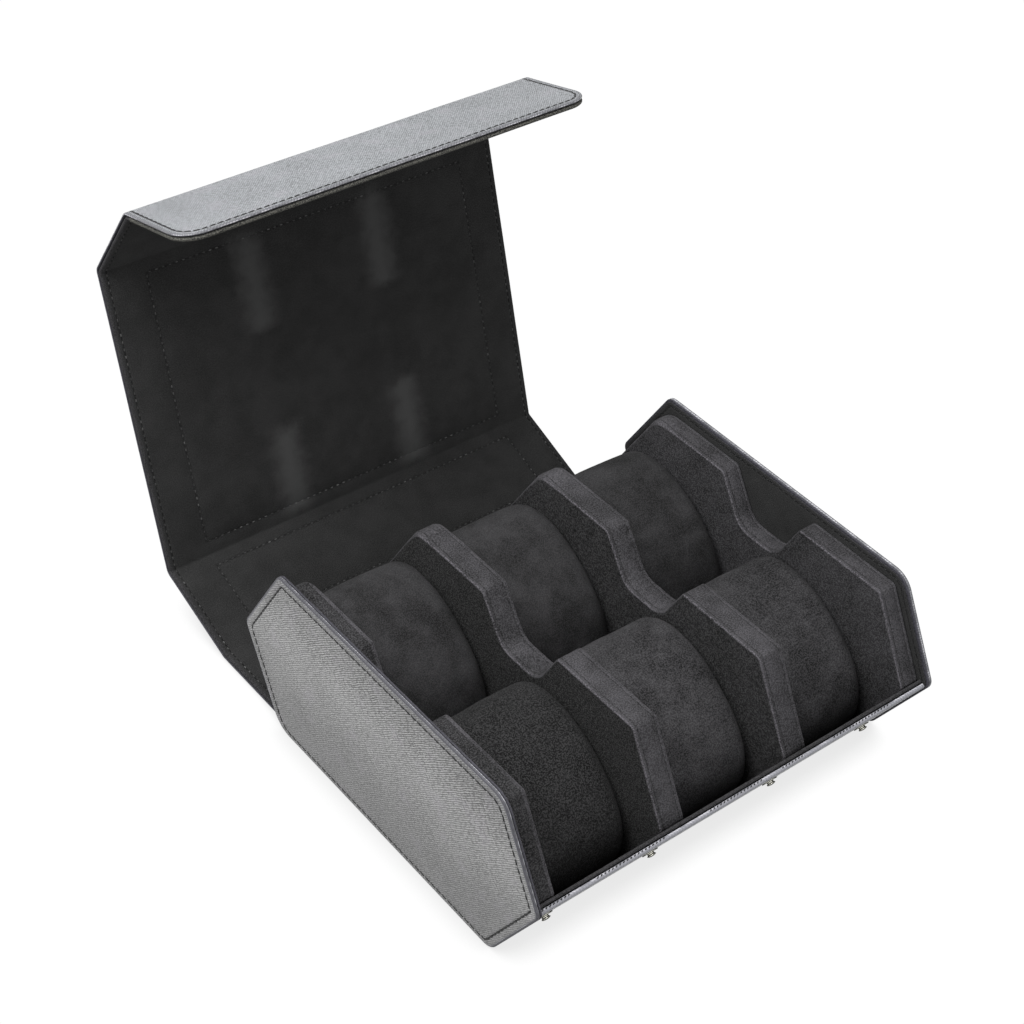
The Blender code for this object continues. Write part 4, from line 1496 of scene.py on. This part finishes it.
def make_materials():
    materials = {
        "leather": make_leather("cross_hatched_leather", (0.955, 1.0, 1.055)),
        # the front's edge strip is paler: a painted reflection of the white floor, which this edge shows at
        # a grazing angle
        "front_leather": make_leather("front_leather", (0.975, 1.0, 1.04), (0.2, 0.26)),
        "end_leather": make_leather("end_leather_with_painted_light", (1.0, 1.0, 0.995), with_painted_light=True),
        "lining": make_lining("suede_lining", LINING_RIM),
        "flap_lining": make_lining("flap_suede_lining", FLAP_LINING_RIM),
        "dark_thread": make_thread("dark_thread", 0.004),
        "light_thread": make_thread("light_thread", 0.07),
        "metal": make_nickel(),
    }
    for name, look in SUEDES.items():
        materials[name] = make_suede(f"{name}_suede", *look)
    return materials


# Stage

def add_floor():
    """A white floor that keeps a soft shadow, painted into the glow the camera sees wherever the case
    occludes it.
    """
    mesh = bpy.data.meshes.new("studio_floor")
    corners = [(x * FLOOR_HALF, y * FLOOR_HALF, 0) for x, y in ((-1, -1), (1, -1), (1, 1), (-1, 1))]
    mesh.from_pydata(corners, [], [(0, 1, 2, 3)])
    floor = bpy.data.objects.new("studio_floor", mesh)
    floor.location.z = -FLOOR_DROP
    bpy.context.scene.collection.objects.link(floor)
    nodes = material_nodes("white_floor")
    nodes.tree.nodes.clear()
    # painted soft shadow: the glow the camera sees is dimmed where the case occludes the floor
    near = nodes.add("AmbientOcclusion", Distance=SHADOW_REACH).outputs["AO"]
    light = nodes.strength(near, From_Min=0.36, From_Max=0.72, To_Min=0.8, To_Max=1.01)
    diffuse = nodes.add("BsdfDiffuse", Color=grey(FLOOR_SHADE))
    glow = nodes.add("Emission", Strength=light)
    mixed = nodes.add("MixShader")
    for socket, value in zip(mixed.inputs, (nodes.seen(), diffuse.outputs[0], glow.outputs[0])):
        nodes.put(socket, value)
    nodes.add("OutputMaterial", Surface=mixed.outputs[0])
    mesh.materials.append(nodes.owner)


def set_world():
    """White where the camera sees it, plain light grey where it lights the case."""
    world = bpy.data.worlds.new("studio")
    bpy.context.scene.world = world
    nodes = Nodes(world)
    background = nodes.tree.nodes["Background"].inputs
    nodes.put(background["Color"], grey(1.0))
    nodes.put(background["Strength"], nodes.strength(nodes.seen(), To_Min=WORLD_LIGHT, To_Max=1.0))


def add_lamps():
    """Round lamps of one size, each at a place, turned to a target, with a power."""
    for name, (place, target, power) in LAMPS.items():
        data = bpy.data.lights.new(name, "AREA")
        data.shape = "DISK"
        data.size = LAMP_SIZE
        data.energy = power
        lamp = bpy.data.objects.new(name, data)
        lamp.location = place
        lamp.rotation_euler = (Vector(target) - Vector(place)).to_track_quat("-Z", "Y").to_euler()
        bpy.context.scene.collection.objects.link(lamp)


def add_camera():
    """The photograph's viewpoint, with its roll and its offset from the case's origin."""
    back = Vector((
        math.sin(CAMERA_AZIMUTH) * math.cos(CAMERA_ELEVATION),
        -math.cos(CAMERA_AZIMUTH) * math.cos(CAMERA_ELEVATION),
        math.sin(CAMERA_ELEVATION),
    ))
    level = Vector((math.cos(CAMERA_AZIMUTH), math.sin(CAMERA_AZIMUTH), 0))
    up = back.cross(level)
    right = level * math.cos(CAMERA_ROLL) + up * math.sin(CAMERA_ROLL)
    tilted = up * math.cos(CAMERA_ROLL) - level * math.sin(CAMERA_ROLL)
    data = bpy.data.cameras.new("camera")
    data.lens = CAMERA_LENS_MM
    data.sensor_width = CAMERA_SENSOR_MM
    camera = bpy.data.objects.new("camera", data)
    turn = Matrix((right, tilted, back)).transposed()
    camera.matrix_world = Matrix.Translation(
        back * CAMERA_DISTANCE + right * CAMERA_RIGHT + tilted * CAMERA_UP
    ) @ turn.to_4x4()
    bpy.context.scene.collection.objects.link(camera)
    bpy.context.scene.camera = camera


def main():
    add_camera()
    materials = make_materials()
    build_front(materials)
    build_cover(materials)
    build_flap(materials)
    build_end("left_end", -1, materials)
    build_end("right_end", 1, materials)
    for name in ("left_divider", "right_divider"):
        build_divider(name, DIVIDER_TOP_INSET, DIVIDER_FRONT_UPPER_INSET, materials["divider"])
    for name in ("left_end_divider", "right_end_divider"):
        build_divider(name, END_DIVIDER_TOP_INSET, END_DIVIDER_FRONT_UPPER_INSET, materials["divider"])
    build_cushions(materials)
    build_snaps(materials["metal"])
    add_floor()
    set_world()
    add_lamps()
    bpy.context.scene.view_settings.view_transform = "Standard"


main()
